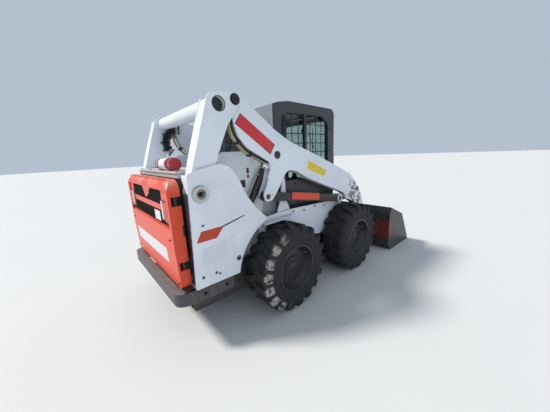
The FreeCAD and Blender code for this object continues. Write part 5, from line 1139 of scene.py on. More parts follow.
class MakeTailgate(bpy.types.Operator):
    """Makes the tailgate's lamps, wire mesh, crown, blank band, seal and latch"""

    bl_idname = "loader.tailgate"
    bl_label = "Tailgate"

    def execute(self, context):
        low, high = edges_of("tailgate")
        self.lamps(low.x)
        self.mesh()
        self.crown(low, high)
        outline = rounded(TAIL_BAND)
        band = Form().rings([
            [(tail_face(p.y) + step, p.x, p.y) for p in outline] for step in (SINK, -size("plate"))
        ])
        band.piece("tailgate_band", "plate_white", "tailgate")
        latch = Form().turned((low.x + 3.2, -135, 1218), -X, TAIL_LOCK, 28)
        latch.piece("tailgate_lock", "ring_steel", "tailgate", "pin_steel")
        seal = Form()
        seal.block((high.x - 14, -high.y - 0.6, 930), (high.x - 1.0, -high.y + 6.0, 1012), 2.0)
        seal.tube([(high.x - 2.0, high.y - 10, z) for z in (600, 1210)], 4.0, 8, smooth=False)
        seal.piece("tailgate_seal", "seal_rubber", "tailgate")
        return {"FINISHED"}

    def lamps(self, face):
        """Clear and red lenses in their housings, and the tailgate's screws."""
        pocket = face + POCKET_DEPTH
        front, back = face + 0.4, pocket - 2.0
        clear, red, housing, screws = Form(), Form(), Form(), Form()
        for _, sign in SIDES:
            clear.side_block(sign, (front, 459.5, LENS_LOW), (back, 488.5, LENS_HIGH), 3.0, 3)
            red.side_block(sign, (front, 491.5, LENS_LOW), (back, 584.5, LENS_HIGH), 4.0, 3)
            for z in LENS_RIBS:
                red.side_block(sign, (face - 0.2, 497.5, z - 1.6), (face + 2.0, 578.5, z + 1.6), 0.8)
            housing.side_block(sign, (pocket - 4.0, 456, 1040.5), (pocket + 0.2, 588, 1189.5), 1.5)
            for z in LAMP_SCREWS:
                screws.turned((face + 1.0, sign * 489.9, z), -X, ((0, 4.2), (1.6, 4.2), (2.4, 3.0)), 14)
            for y, z in TAIL_SCREWS:
                in_pocket = POCKET_Z[0] < z < POCKET_Z[1]
                screws.bolt((pocket if in_pocket else tail_face(z), sign * y, z), -X, 11)
        red.piece("tail_lenses_red", "lens_red", "tailgate", "lamp_red", replaces=("tail_lamps",))
        clear.piece("tail_lenses_clear", "lens_clear", "tailgate")
        housing.piece("tail_lamp_housings", "cap_plastic", "tailgate", "grille_black")
        screws.piece("tailgate_screws", "bolt_black", "tailgate", "black_steel")

    def mesh(self):
        """Upright wires over the grille's two openings, and the blank card on it."""
        wire = size("grille_wire")
        front = edges_of("tailgate_grille")[0].x
        mesh = Form()
        for z0, z1, reach in MESH_OPENINGS:
            for i in range(int(reach * 2.0 / MESH_PITCH)):
                y = -reach + 6.0 + i * MESH_PITCH
                mesh.block((front - wire, y, z0), (front + 0.2, y + wire, z1))
        mesh.piece("tailgate_mesh", "grille_black", "tailgate", "grille_black")
        card = Form().block((front - 3.2, -366, 1010), (front - wire, -222, 1090), 0.4, 1)
        card.piece("grille_card", "plate_white", "tailgate")

    def crown(self, low, high):
        """Full rounded skin over the top edge and its corners."""
        straight = high.y - CROWN_CORNER
        levels = [straight + CROWN_CORNER * math.sin(math.radians(a)) for a in range(0, 81, 8)]
        base = high.z - CROWN_DROP
        rings = []
        for y in [-v for v in reversed(levels)] + [-straight * 0.5, 0.0, straight * 0.5] + levels:
            over = max(0.0, abs(y) - straight)
            tall = high.z - CROWN_CORNER + math.sqrt(CROWN_CORNER ** 2 - over ** 2) - base
            outer, inner = [], []
            for a in range(0, 91, 9):
                c, s = math.cos(math.radians(a)), math.sin(math.radians(a))
                outer.append((low.x + CROWN_DEPTH * (1.0 - c), y, base + tall * s))
                deep = CROWN_DEPTH - (CROWN_DEPTH - CROWN_WALL) * c
                inner.append((low.x + deep, y, base + (tall - CROWN_WALL * 0.6) * s))
            rings.append(outer + inner[::-1])
        Form().rings(rings).piece("tailgate_crown", "tail_orange", "tailgate", "orange_paint", 50)


class MakeDeck(bpy.types.Operator):
    """Makes the bottle's head, label and straps, and the deck's and cover's fasteners"""

    bl_idname = "loader.deck"
    bl_label = "Deck"

    def execute(self, context):
        self.bottle()
        self.fasteners()
        return {"FINISHED"}

    def bottle(self):
        low, high = edges_of("fire_extinguisher")
        x, r = (low.x + high.x) / 2.0, BOTTLE_RADIUS
        z = high.z - r
        head = Form().turned((x, -31, z), Y, BOTTLE_VALVE, 24)
        head.block((x - 9.0, -26, z + 16), (x + 9.0, 24, z + 24), 2.0)
        head.block((x - 7.0, -22, z + 26), (x + 7.0, 26, z + 31), 2.0)
        head.turned((x - 18, -14, z + 4.0), -X, BOTTLE_GAUGE, 20)
        head.piece("bottle_head", "zinc", "chassis")
        wrap = ((0, r + 0.2), (0.3, r + 0.7), (204, r + 0.7), (204.3, r + 0.2))
        Form().turned((x, -310, z), Y, wrap, 48).piece("bottle_label", "plate_white", "chassis")
        rings = []
        for angle in range(60, 121, 10):
            c, s = math.cos(math.radians(angle)), math.sin(math.radians(angle))
            edge = ((-180, r + 0.5), (-180, r + 1.4), (-112, r + 1.4), (-112, r + 0.5))
            rings.append([(x + reach * c, y, z + reach * s) for y, reach in edge])
        Form().rings(rings).piece("bottle_tag", "plate_yellow", "chassis")
        straps = Form()
        for y in (-366, -148):
            straps.ring((x, y, z), Y, r + 0.1, r + 2.6, 26, 48, 0.8)
            straps.block((x + r - 4.0, y + 3.0, z - 10), (x + r + 9.0, y + 23, z + 8.0), 2.0)
        straps.piece("bottle_straps", "cap_plastic", "chassis", "black_plastic")
        end = Form().turned((x, -429, z), -Y, BOTTLE_BASE, 40)
        end.piece("bottle_base", "bottle_red", "chassis", "red_paint")

    def fasteners(self):
        deck_low, deck_high = edges_of("rear_deck")
        low, high = edges_of("engine_cover")
        screws, cover, net = Form(), Form(), Form()
        for y in (-500, -180, 180, 500):
            screws.bolt((deck_low.x + 16, y, deck_high.z), Z, 12)
        for y in (-510, 510):
            for x in (low.x + 26, high.x - 70):
                cover.bolt((x, y, COVER_TOP), Z, 12)
        screws.piece("deck_screws", "bolt_steel", "chassis", "pin_steel")
        cover.piece("cover_screws", "bolt_steel", "engine_cover", "pin_steel")
        pull = Form().tube([(low.x + 22, y, z) for y, z in COVER_PULL], 5.0, 12)
        pull.piece("cover_pull", "satin_black", "engine_cover", "black_paint")
        for i in range(COVER_WIRES):
            x = low.x + 24 + i * 5.0
            for _, sign in SIDES:
                net.side_block(sign, (x, 40, COVER_NET[0]), (x + 1.2, 300, COVER_NET[1]))
        net.piece("cover_mesh", "grille_black", "engine_cover", "black_steel")


# ---- lift linkage

LINK_INNER_FACE, LINK_OUTER_FACE, LINK_TUBE_END = 548, 680.6, 640
LINK_TUBE = (-565, 1861)
HOSE_LOOP = (-440, 1655)
HOSE_LOOP_RADII = (118, 142, 166)
HOSE_LOOP_ENDS = (98, 214)
HOSE_CLAMPS = (118, 148, 178, 204)
ARM_FACE = 662
RED_PLATE = ((-372, 1812), (-20, 1568), (-76, 1480), (-429, 1731))
YELLOW_PLATE = ((443, 1404), (752, 1276), (713, 1208), (424, 1317))
PLATE_BORDER = 9.0
ARM_PIPE = (
    (-452, 1766), (-462, 1722), (-438, 1634), (-350, 1527), (-222, 1455),
    (-110, 1404), (-88, 1424),
)
ARM_PIPE_LEVELS = (612, 636)
# Place and heading of the pipes' nuts, and place and turn of their clips
PIPE_NUTS = ((-458, 1748, -0.2, -0.98), (-96, 1412, 0.5, 0.86))
PIPE_CLIPS = ((-404, 1590, 50), (-286, 1488, 31))
CLIP_OUTLINE = ((-13, -16), (13, -16), (13, 26), (-13, 26))
CONTROL_PIN = (-127, 1103)
LIFT_EYE, TILT_EYE = (6.0, 1474), (1780, 393)
LIFT_BARREL, BARREL_RADIUS = 870, 33
CYLINDER_Y = 542
PORT_REACH = 70
GLAND = ((0, 33.2), (2, 35.5), (24, 35.5), (26, 33.5), (30.4, 33), (34, 27), (34.2, 22.6))
EYE_CAP = ((-0.3, 36), (4, 36), (7, 32), (8.5, 22), (9, 6))
EYE_COVER = ((0, 52), (1.6, 54), (2.4, 52), (2.4, 31))
PIN_WASHER = ((-0.3, 26), (3.0, 26), (4.6, 24))


def on_loop(radius, angle, y):
    """Place on the hose loop, angle in degrees from straight ahead, turning up."""
    turn = math.radians(angle)
    return Vector((HOSE_LOOP[0] + radius * math.cos(turn), y, HOSE_LOOP[1] + radius * math.sin(turn)))


def shrunk(outline, gap):
    """Outline moved in by a gap towards its middle."""
    middle = sum((Vector(p) for p in outline), Vector((0, 0))) / len(outline)
    away = [Vector(p) - middle for p in outline]
    return [tuple(middle + step * (1.0 - gap / step.length)) for step in away]


class MakeRearLinks(bpy.types.Operator):
    """Makes the clamped hose loops, tube ends and pin keepers of the rear links"""

    bl_idname = "loader.rear_links"
    bl_label = "Rear links"

    def execute(self, context):
        hose = size("hose") / 2.0
        for side, sign in SIDES:
            self.hoses(side, sign, hose)
            self.clamps(side, sign, hose)
        plugs, keepers = Form(), Form()
        for _, sign in SIDES:
            out, level = outward(sign), sign * LINK_OUTER_FACE
            end = (LINK_TUBE[0], sign * LINK_TUBE_END, LINK_TUBE[1])
            plugs.turned(end, out, ((0, 47.5), (10, 47.5), (13, 44), (13, 10)), 40)
            keepers.ring((LINK_TUBE[0], level, LINK_TUBE[1]), out, 48.5, 55, 3.0, 48, 1.6)
            keepers.ring((LINK_TOP[0], level, LINK_TOP[2]), out, 35, 43, 4.0, 40, 1.4)
            keepers.bolt((LINK_TOP[0], sign * 692.5, LINK_TOP[2]), out, size("pin_bolt"))
        plugs.piece("tube_plugs", "cap_plastic", "rear_links", "black_plastic")
        keepers.piece("link_keepers", "pin_black", "rear_links", "pin_steel")
        return {"FINISHED"}

    def columns(self, hose):
        """Distances of the two columns of hoses from the machine's middle."""
        return LINK_INNER_FACE - hose - 0.5, LINK_INNER_FACE - 3.0 * hose - 1.5

    def hoses(self, side, sign, hose):
        first, last = HOSE_LOOP_ENDS
        nut = hose + 2.2
        ferrule = ((0, 9), (0.5, 9.5), (10, 9.5), (10.5, nut), (34, nut), (36, hose))
        hoses, sleeve, ends = Form(), Form(), Form()
        for column, depth in enumerate(self.columns(hose)):
            y = sign * depth
            for i, radius in enumerate(HOSE_LOOP_RADII):
                path = [on_loop(radius, first + (last - first) * t / 12, y) for t in range(13)]
                (sleeve if (column, i) == (1, 0) else hoses).tube(path, hose, 14, 3)
                for angle, turn in ((first, 1.0), (last, -1.0)):
                    end = on_loop(radius, angle, y)
                    heading = (on_loop(radius, angle + turn * 2.0, y) - end).normalized()
                    ends.turned(end - heading * 26, heading, ferrule, 14)
        hoses.piece("link_hoses_" + side, "hose_rubber", "rear_links")
        sleeve.piece("link_hose_sleeve_" + side, "hose_sleeve", "rear_links")
        ends.piece("link_hose_ends_" + side, "zinc", "rear_links", "pin_steel")

    def clamps(self, side, sign, hose):
        """Bars over the hoses with a bolt each, and the brackets at the loop's two ends."""
        first, last = HOSE_LOOP_ENDS
        inner = self.columns(hose)[1] - hose
        clamps = Form()
        for angle in HOSE_CLAMPS:
            turn = math.radians(angle)
            tangent = Vector((-math.sin(turn), 0.0, math.cos(turn))) * 9.0
            bar = ((103, -1), (181, -1), (181, 1), (103, 1))
            ring = [on_loop(r, angle, 0.0) + tangent * w for r, w in bar]
            self.slab(clamps, ring, sign, (LINK_INNER_FACE, inner - 3.0))
            clamps.bolt(on_loop(190, angle, sign * (LINK_INNER_FACE - 0.2)), outward(-sign), 12)
        for angle in (first - 12.5, last + 12.5):
            bracket = ((96, -1.4), (188, -0.8), (188, 0.8), (96, 1.4))
            ring = [on_loop(r, angle + w, 0.0) for r, w in bracket]
            self.slab(clamps, ring, sign, (LINK_INNER_FACE + 6.0, inner - 4.0))
        clamps.piece("link_hose_clamps_" + side, "bolt_black", "rear_links", "black_steel")

    def slab(self, form, ring, sign, levels):
        form.rings([[(p.x, sign * level, p.z) for p in ring] for level in levels])


class MakeLiftArms(bpy.types.Operator):
    """Makes the lift arms' blank plates, pipes, clips, caps and pin bolts"""

    bl_idname = "loader.lift_arms"
    bl_label = "Lift arms"

    def execute(self, context):
        pins = ((CONTROL_PIN, 24), (pivot("tilt_barrel_swing"), 22), (pivot("bucket_tilt"), 24))
        eye_x, eye_z = LIFT_EYE
        for side, sign in SIDES:
            face, out = sign * ARM_FACE, outward(sign)
            over = face + sign * size("plate")
            inside = shrunk(RED_PLATE, PLATE_BORDER)
            decal("plate_border_" + side, "plate_dark", "lift_arms", RED_PLATE, face, sign, 4.0)
            decal("plate_red_" + side, "plate_red", "lift_arms", inside, over, sign, 3.0)
            decal("plate_yellow_" + side, "plate_yellow", "lift_arms", YELLOW_PLATE, face, sign, 6.0)
            cap = Form().turned((eye_x, face, eye_z), out, EYE_CAP, 40)
            cap.piece("eye_cap_" + side, "cap_plastic", "lift_arms", "black_plastic")
            bolts = Form()
            for (x, z), width in pins:
                bolts.turned((x, face, z), out, PIN_WASHER, 36)
                bolts.bolt((x, face + sign * 4.4, z), out, width)
                bolts.turned((x + 46, face, z + 12), out, ((-0.3, 4), (4, 4), (6, 2.6)), 12)
            bolts.piece("arm_pin_bolts_" + side, "bolt_steel", "lift_arms", "pin_steel")
            self.pipes(side, sign)
        return {"FINISHED"}

    def pipes(self, side, sign):
        """Two steel pipes with nuts, the hose beside them and their clips."""
        pipes = Form()
        for level in ARM_PIPE_LEVELS:
            y = sign * level
            pipes.tube([(x, y, z) for x, z in ARM_PIPE], size("pipe") / 2.0, 14, 8)
            for x, z, dx, dz in PIPE_NUTS:
                nut = ((0, 12), (1.5, 13.5), (20, 13.5), (22, 12))
                pipes.turned((x - dx * 12, y, z - dz * 12), (dx, 0, dz), nut, 6)
        pipes.piece("arm_pipes_" + side, "brass", "lift_arms", "pin_steel")
        hose = Form().tube([(x + 9.0, sign * 651, z + 10) for x, z in ARM_PIPE], 8.0, 12, 8)
        hose.piece("arm_hose_" + side, "hose_rubber", "lift_arms")
        clips = Form()
        low, high = sorted((sign * 598, sign * 650))
        for x, z, turn in PIPE_CLIPS:
            c, s = math.cos(math.radians(turn)), math.sin(math.radians(turn))
            corners = [(x + c * a + s * b, z - s * a + c * b, 3) for a, b in CLIP_OUTLINE]
            clips.plate(corners, low, high, 1.5)
        clips.piece("pipe_clips_" + side, "cap_plastic", "lift_arms", "black_plastic")


class MakeCylinders(bpy.types.Operator):
    """Makes the cylinders' glands, ports and feed pipes"""

    bl_idname = "loader.cylinders"
    bl_label = "Cylinders"

    def execute(self, context):
        for name, eye, hand in (("lift", LIFT_EYE, 1.0), ("tilt", TILT_EYE, -1.0)):
            bx, bz = pivot(name + "_barrel_swing")
            heading = Vector((eye[0] - bx, 0.0, eye[1] - bz)).normalized()
            length = LIFT_BARREL
            if name == "tilt":
                drop = bz - BARREL_RADIUS * abs(heading.x) - edges_of("tilt_barrels")[0].z
                length = drop / abs(heading.z)
            aside = Vector((-heading.z, 0.0, heading.x)) * hand
            for side, sign in SIDES:
                root = Vector((bx, sign * CYLINDER_Y, bz))
                gland = Form().turned(root + heading * (length - 30), heading, GLAND, 40)
                gland.piece(name + "_gland_" + side, "satin_black", name + "_barrels", "black_paint")
                ports = Form()
                for along in (PORT_REACH, length - PORT_REACH):
                    seat = root + heading * along + aside * 31
                    ports.turned(seat, aside, ((0, 15), (9, 15), (10, 11), (16, 11)), 20)
                    ports.turned(seat + aside * 10, aside, ((0, 12), (9, 12), (10, 10)), 6)
                ports.piece(name + "_ports_" + side, "zinc", name + "_barrels", "pin_steel")
                start = root + heading * PORT_REACH + aside * 50
                end = root + heading * (length - PORT_REACH) + aside * 50
                low = aside * 3.0
                feed = Form().tube([
                    start - aside * 10, start + heading * 16, start + heading * 50 - low,
                    (start + end) / 2.0 - low, end - heading * 50 - low, end - heading * 16,
                    end - aside * 10,
                ], 6.0, 12, 6)
                feed.piece(name + "_feed_" + side, "zinc", name + "_barrels", "pin_steel")
        return {"FINISHED"}


class MakeControlLinks(bpy.types.Operator):
    """Makes the control links' pin bolts and eye covers"""

    bl_idname = "loader.control_links"
    bl_label = "Control links"

    def execute(self, context):
        face = edges_of("control_links")[1].y
        dx, dz = pivot("control_link_swing")
        for side, sign in SIDES:
            out = outward(sign)
            bolts = Form().turned((dx, sign * (face + 0.2), dz), out, ((-0.3, 30), (2.4, 30), (4.0, 27)), 36)
            bolts.bolt((dx, sign * (face + 4.0), dz), out, 22)
            bolts.piece("control_bolts_" + side, "bolt_steel", "control_links", "pin_steel")
            cover = Form().turned((dx, sign * (face - 0.2), dz), out, EYE_COVER, 44)
            cover.piece("control_eye_cover_" + side, "white_enamel", "control_links", "white_paint")
        return {"FINISHED"}


# ---- cab

SIDE_WINDOWS = (
    ((236, 1200, 40), (236, 1850, 60), (330, 1890, 60), (588, 1890, 20), (588, 1200, 20)),
    ((616, 1200, 20), (616, 1890, 20), (900, 1890, 90), (1018, 1810, 60), (1018, 1200, 40)),
)
REAR_WINDOW = ((-380, 1500, 50), (-380, 1800, 50), (380, 1800, 50), (380, 1500, 50))
DOOR_WINDOW = ((-370, 910, 55), (-370, 1870, 55), (370, 1870, 55), (370, 910, 55))
CAB_SIDE, CAB_STRIP, CAB_REAR, DOOR_FACE = 490, 486.5, -112, 1141
CAB_BOLTS = (
    (170, 1120), (170, 1700), (420, 1150), (602, 1500), (1060, 1150),
    (1060, 1500), (1068, 1760), (300, 960), (700, 960), (1000, 990),
)
WINDOW_LATCHES = (1250, 1700)
DOOR_BOLTS = ((300, 1890), (-300, 1890), (-300, 868), (300, 868))
HANDLE_Y = -402
HANDLE = ((1140, 1300), (1160, 1300), (1166, 1312), (1166, 1400), (1160, 1412), (1140, 1412))
# Stations of the cushion from its back to its front: x, half width, half thickness, crown
CUSHION = (
    (112, 150, 22, 0), (116, 205, 36, 2), (135, 226, 44, 5), (180, 232, 46, 7), (330, 233, 46, 6),
    (470, 232, 46, 8), (550, 229, 46, 9), (582, 218, 42, 6), (595, 190, 32, 2), (598, 140, 20, 0),
)
# Stations of the back from below: height, half width, half thickness, crown
SEAT_BACK = (
    (0, 150, 20, 0), (8, 196, 34, 2), (40, 214, 42, 5), (150, 220, 44, 7), (300, 214, 42, 6),
    (430, 200, 38, 5), (500, 176, 32, 3), (528, 130, 20, 0),
)
BACK_NORMAL = (0.994, 0.107)
SQUARENESS = 0.28
# Seams of the cushion: along it as (x, height over the seat's top), and across it as (x, y, height)
LONG_SEAM = ((128, 97), (180, 104), (330, 103), (470, 105), (556, 103), (592, 80))
CROSS_SEAM = ((196, -212, 98), (198, -120, 104), (198, 0, 105), (198, 120, 104), (196, 212, 98))
BACK_POST = ((150, 0), (96, 60), (88, 200), (62, 420))
LEVER_X, LEVER_Y = 560, 340
LEVER_BOOT = ((0, 44), (6, 42), (12, 32), (20, 36), (28, 26), (36, 30), (44, 20), (54, 20), (60, 15))
LEVER_GRIP = (
    (0, 24.5), (8, 27), (22, 25.2), (36, 27), (50, 25.2), (64, 27), (78, 25.2), (92, 27), (108, 25.5),
    (114, 20), (115, 6),
)
LAP_PAD = ((0, 16.4), (6, 24), (30, 26), (370, 26), (394, 24), (400, 16.4))


def gasket(form, outline, plane, level, radius):
    """Rubber strip round an opening."""
    points = rounded(outline)
    line = [{"side": (p.x, level, p.y), "rear": (level, p.x, p.y)}[plane] for p in points + points[:2]]
    return form.tube(line, radius, 8, smooth=False)


class MakeCab(bpy.types.Operator):
    """Makes the cab's window strips, lamps, latches, wiper, handle and bolts"""

    bl_idname = "loader.cab"
    bl_label = "Cab"

    def execute(self, context):
        lamps, rims, screws = Form(), Form(), Form()
        for side, sign in SIDES:
            strip = Form()
            for outline in SIDE_WINDOWS:
                gasket(strip, outline, "side", sign * CAB_STRIP, 5.5)
            strip.piece("window_strip_" + side, "seal_rubber", "cab")
            bolts = Form().side_bolts(CAB_BOLTS, CAB_SIDE, sign, size("panel_bolt"))
            for z in WINDOW_LATCHES:
                bolts.side_block(sign, (574, 456.2, z), (600, 470, z + 44), 3.0)
            bolts.piece("cab_bolts_" + side, "bolt_black", "cab", "black_steel")
            lamps.side_block(sign, (1160, 326, 1880), (1165.5, 434, 1940), 4.0, 3)
            rims.side_block(sign, (1128, 322, 1874), (1163, 438, 1945.5), 3.0)
            for z in (1500, 1800):
                screws.bolt((CAB_REAR, sign * 404, z), -X, 9.0)
        gasket(Form(), REAR_WINDOW, "rear", -104, 6.0).piece("rear_window_strip", "seal_rubber", "cab")
        screws.piece("rear_ring_screws", "bolt_steel", "cab", "pin_steel")
        lamps.piece("head_lamp_lenses", "lens_clear", "cab", "lamp_red")
        rims.piece("head_lamp_rims", "cap_plastic", "cab", "black_plastic")
        self.door()
        return {"FINISHED"}

    def door(self):
        """Strip, handle, wiper and bolts of the front door."""
        gasket(Form(), DOOR_WINDOW, "rear", DOOR_FACE, 6.5).piece("door_strip", "seal_rubber", "cab_door")
        handle = Form().tube([(x, HANDLE_Y, z) for x, z in HANDLE], 7.0, 14)
        handle.turned((1140, HANDLE_Y, 1262), X, ((0, 15), (5, 15), (7, 12), (7, 4)), 24)
        handle.piece("door_handle", "satin_black", "cab_door", "black_paint")
        wiper = Form().block((1139, -40, 1866), (1166, 40, 1918), 6.0, 3)
        wiper.rod((1158, 0.0, 1880), (1176, 0.0, 1880), 11, 18, 2.0)
        wiper.tube([(1172, 0, 1880), (1173, -60, 1720), (1164, -130, 1560)], 4.2, 10)
        wiper.block((1153, -140, 1330), (1160, -132, 1800), 1.5)
        wiper.block((1159, -146, 1540), (1167, -122, 1580), 2.0)
        wiper.piece("door_wiper", "cap_plastic", "cab_door", "black_plastic")
        bolts = Form()
        for y, z in DOOR_BOLTS:
            bolts.bolt((DOOR_FACE, y, z), X, 11)
        bolts.piece("door_bolts", "bolt_black", "cab_door", "black_steel")


def upholstery(stations, normal):
    """Rounded cushion from stations of (x, z), half width, half thickness and crown."""
    rings = []
    for (x, z), half, thick, crown in stations:
        ring = []
        for i in range(40):
            c, s = math.cos(math.tau * i / 40), math.sin(math.tau * i / 40)
            across_seat = math.copysign(abs(c) ** SQUARENESS, c)
            rise = math.copysign(abs(s) ** SQUARENESS, s) * thick
            if s > 0:
                rise += crown * max(0.0, 1.0 - (across_seat * 0.9) ** 4)
            ring.append((x + normal[0] * rise, across_seat * half, z + normal[1] * rise))
        rings.append(ring)
    return Form().rings(rings)


class MakeSeat(bpy.types.Operator):
    """Makes the operator's seat: cushion, back, piping and folding plinth"""

    bl_idname = "loader.seat"
    bl_label = "Seat"

    def execute(self, context):
        floor = edges_of("seat")[0].z
        top = floor + 330
        rows = [((x, top + (47 if x > 570 else 50)), *rest) for x, *rest in CUSHION]
        cushion = upholstery(rows, (0.0, 1.0))
        cushion = cushion.piece("seat_cushion", "seat_vinyl", "cab", "black_vinyl", 60, replaces=("seat",))
        rows = [((144 - 66 * up / 560, top + 118 + up), *rest) for up, *rest in SEAT_BACK]
        back = upholstery(rows, BACK_NORMAL).piece("seat_back", "seat_vinyl", "cab", "black_vinyl", 60)
        seams, plinth = Form(), Form()
        for y in (-128, 128):
            seams.tube([(x, y, top + z) for x, z in LONG_SEAM], 3.2, 8)
        seams.tube([(x, y, top + z) for x, y, z in CROSS_SEAM], 3.2, 8)
        seams.piece("seat_piping", "seal_rubber", "cab", "black_vinyl")
        plinth.block((130, -218, floor), (552, 218, floor + 210), 8.0, 3)
        plinth.block((150, -190, floor + 209), (540, 190, top - 12), 4.0)
        for i in range(5):
            fold = floor + 222 + i * 18
            plinth.block((140, -206, fold), (548, 206, fold + 10), 4.0)
        plinth.block((104, -150, top - 14), (596, 150, top + 6.0), 3.0)
        for y in (-120, 120):
            plinth.tube([(x, y, top + z) for x, z in BACK_POST], 12, 12)
        plinth.piece("seat_plinth", "lever_plastic", "cab", "black_plastic")
        return {"FINISHED"}


class MakeControls(bpy.types.Operator):
    """Makes the levers' grips, buttons, boots and the lap bar's pad"""

    bl_idname = "loader.controls"
    bl_label = "Controls"

    def execute(self, context):
        top = edges_of("controls")[0].z + 420
        boots, knobs = Form(), Form()
        for _, sign in SIDES:
            y = sign * LEVER_Y
            boots.turned((LEVER_X, y, top - 0.5), Z, LEVER_BOOT, 28)
            boots.turned((LEVER_X, y, top + 118), Z, LEVER_GRIP, 28)
            knobs.turned((LEVER_X, y + sign * 8.0, top + 231), Z, ((0, 8), (5, 8), (8, 5)), 18)
            knobs.turned((LEVER_X - 100, y - sign * 20, top - 0.5), Z, ((0, 14), (8, 14), (14, 9)), 20)
        boots.piece("lever_boots", "cap_plastic", "cab", "black_plastic")
        knobs.piece("lever_knobs", "orange_knob", "cab", "black_plastic")
        pad = Form().turned((440, -200, top + 165), Y, LAP_PAD, 28)
        pad.piece("lap_bar_pad", "seat_vinyl", "cab", "black_vinyl")
        return {"FINISHED"}


# ---- engine, coupler, bucket

FIN_PITCH, FIN_WIDTH, TANK_HEIGHT = 9.0, 2.2, 32
ENGINE_RIBS = 6
LEVER_LINE = 230
COUPLER_BOLTS = (430, 300)
BUCKET_BACK = 1880
BACK_WELDS = (700, 712, 860, 872)
RIPPLE = 9.0
EDGE_BOLTS = 8
EDGE_BOLT = ((0, 15), (1.4, 15), (3.4, 12), (3.6, 4))


class MakeEngine(bpy.types.Operator):
    """Makes the cooler's fins and tanks and the engine's ribs"""

    bl_idname = "loader.engine"
    bl_label = "Engine"

    def execute(self, context):
        low, high = edges_of("cooler")
        fins, tanks, ribs = Form(), Form(), Form()
        y = low.y + 40
        while y < high.y - 40:
            fins.block((low.x - 3.0, y, low.z + 34), (low.x + 0.3, y + FIN_WIDTH, high.z - 34))
            y += FIN_PITCH
        fins.piece("cooler_fins", "fin_alloy", "chassis", "engine_metal")
        for z0, z1 in ((high.z - TANK_HEIGHT, high.z - 3.0), (low.z + 3.0, low.z + TANK_HEIGHT)):
            tanks.block((low.x - 5.0, low.y + 4.0, z0), (low.x + 0.5, high.y - 4.0, z1), 3.0)
        tanks.piece("cooler_tanks", "cap_plastic", "chassis", "black_plastic")
        low, high = edges_of("engine_block")
        for i in range(ENGINE_RIBS):
            x = low.x + 30 + i * (high.x - low.x - 200) / ENGINE_RIBS
            for _, sign in SIDES:
                foot, edge = (x, high.y - 0.5, low.z + 40), (x + 9.0, high.y + 4.0, high.z - 160)
                ribs.side_block(sign, foot, edge, 1.5)
        ribs.piece("engine_ribs", "engine_iron", "chassis", "engine_metal")
        return {"FINISHED"}


class MakeCoupler(bpy.types.Operator):
    """Makes the coupler's lever grips and bolts"""

    bl_idname = "loader.coupler"
    bl_label = "Coupler"

    def execute(self, context):
        face = edges_of("coupler")[1].x
        px, pz = pivot("bucket_tilt")
        grips, bolts = Form(), Form()
        for _, sign in SIDES:
            grips.side_block(sign, (face - 106, 217, 590), (face - 78, 243, 606.5), 4.0, 3)
            for y in COUPLER_BOLTS:
                bolts.bolt((face - 62, sign * y, 520), -X, 15)
            bolts.turned((face - 74.5, sign * LEVER_LINE, 512), -X, ((0, 16), (4, 16), (6, 13)), 24)
            bolts.bolt((face - 80, sign * LEVER_LINE, 512), -X, 15, False)
            bolts.turned((px, sign * 498, pz), outward(-sign), ((0, 30), (4, 30), (6, 27)), 30)
        grips.piece("coupler_grips", "cap_plastic", "bucket", "black_steel")
        bolts.piece("coupler_bolts", "bolt_steel", "bucket", "pin_steel")
        return {"FINISHED"}


def weld(form, start, end, radius):
    """Rippled bead between two places."""
    start, end = Vector(start), Vector(end)
    length = (end - start).length
    count = max(2, int(length / RIPPLE))
    profile = [(length * i / count, radius * (0.86 if i % 2 else 1.06)) for i in range(count + 1)]
    return form.turned(start, (end - start).normalized(), profile, 8)


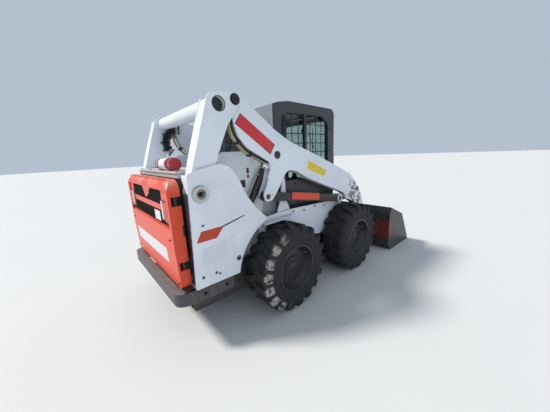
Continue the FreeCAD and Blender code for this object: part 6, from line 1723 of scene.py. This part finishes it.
class MakeBucket(bpy.types.Operator):
    """Makes the bucket's weld beads and edge bolts"""

    bl_idname = "loader.bucket"
    bl_label = "Bucket"

    def execute(self, context):
        top = edges_of("bucket")[1].z - 124
        welds, bolts = Form(), Form()
        for _, sign in SIDES:
            for y in BACK_WELDS:
                weld(welds, (BUCKET_BACK - 1.0, sign * y, 168), (BUCKET_BACK - 1.0, sign * y, top), 3.4)
            weld(welds, (2330, sign * 926, 486), (BUCKET_BACK + 70, sign * 926, 640), 2.6)
        welds.piece("bucket_welds", "bolt_black", "bucket", "bucket_steel")
        low, high = edges_of("cutting_edge")
        for i in range(EDGE_BOLTS):
            y = low.y + 90 + i * (high.y - low.y - 180) / (EDGE_BOLTS - 1.0)
            bolts.turned((low.x + 44, y, high.z - 0.3), Z, EDGE_BOLT, 26)
        bolts.piece("edge_bolts", "edge_steel", "bucket", "worn_edge")
        return {"FINISHED"}


OPERATORS = (
    MakeFinishes, MakeStage, MakeTyres, MakeWheelDetails, MakePanels, MakeLowerBody, MakeBumper, MakeTailgate,
    MakeDeck, MakeRearLinks, MakeLiftArms, MakeCylinders, MakeControlLinks, MakeCab, MakeSeat, MakeControls,
    MakeEngine, MakeCoupler, MakeBucket,
)


class LoaderPanel(bpy.types.Panel):
    """Lists the loader's operators, colours and sizes"""

    bl_idname = "VIEW3D_PT_loader"
    bl_label = "Skid steer loader"
    bl_space_type = "VIEW_3D"
    bl_region_type = "UI"
    bl_category = "Loader"

    def draw(self, context):
        for operator in OPERATORS:
            self.layout.operator(operator.bl_idname)
        for group in (context.scene.loader_colours, context.scene.loader_sizes):
            column = self.layout.column()
            for name in group.__annotations__:
                column.prop(group, name)


CLASSES = (LoaderColours, LoaderSizes, *OPERATORS, LoaderPanel)


def register():
    for entry in CLASSES:
        bpy.utils.register_class(entry)
    bpy.types.Scene.loader_colours = bpy.props.PointerProperty(type=LoaderColours)
    bpy.types.Scene.loader_sizes = bpy.props.PointerProperty(type=LoaderSizes)


def unregister():
    del bpy.types.Scene.loader_sizes
    del bpy.types.Scene.loader_colours
    for entry in reversed(CLASSES):
        bpy.utils.unregister_class(entry)


def main():
    register()
    for operator in OPERATORS:
        group, name = operator.bl_idname.split(".")
        getattr(getattr(bpy.ops, group), name)()


if __name__ == "__main__":
    main()
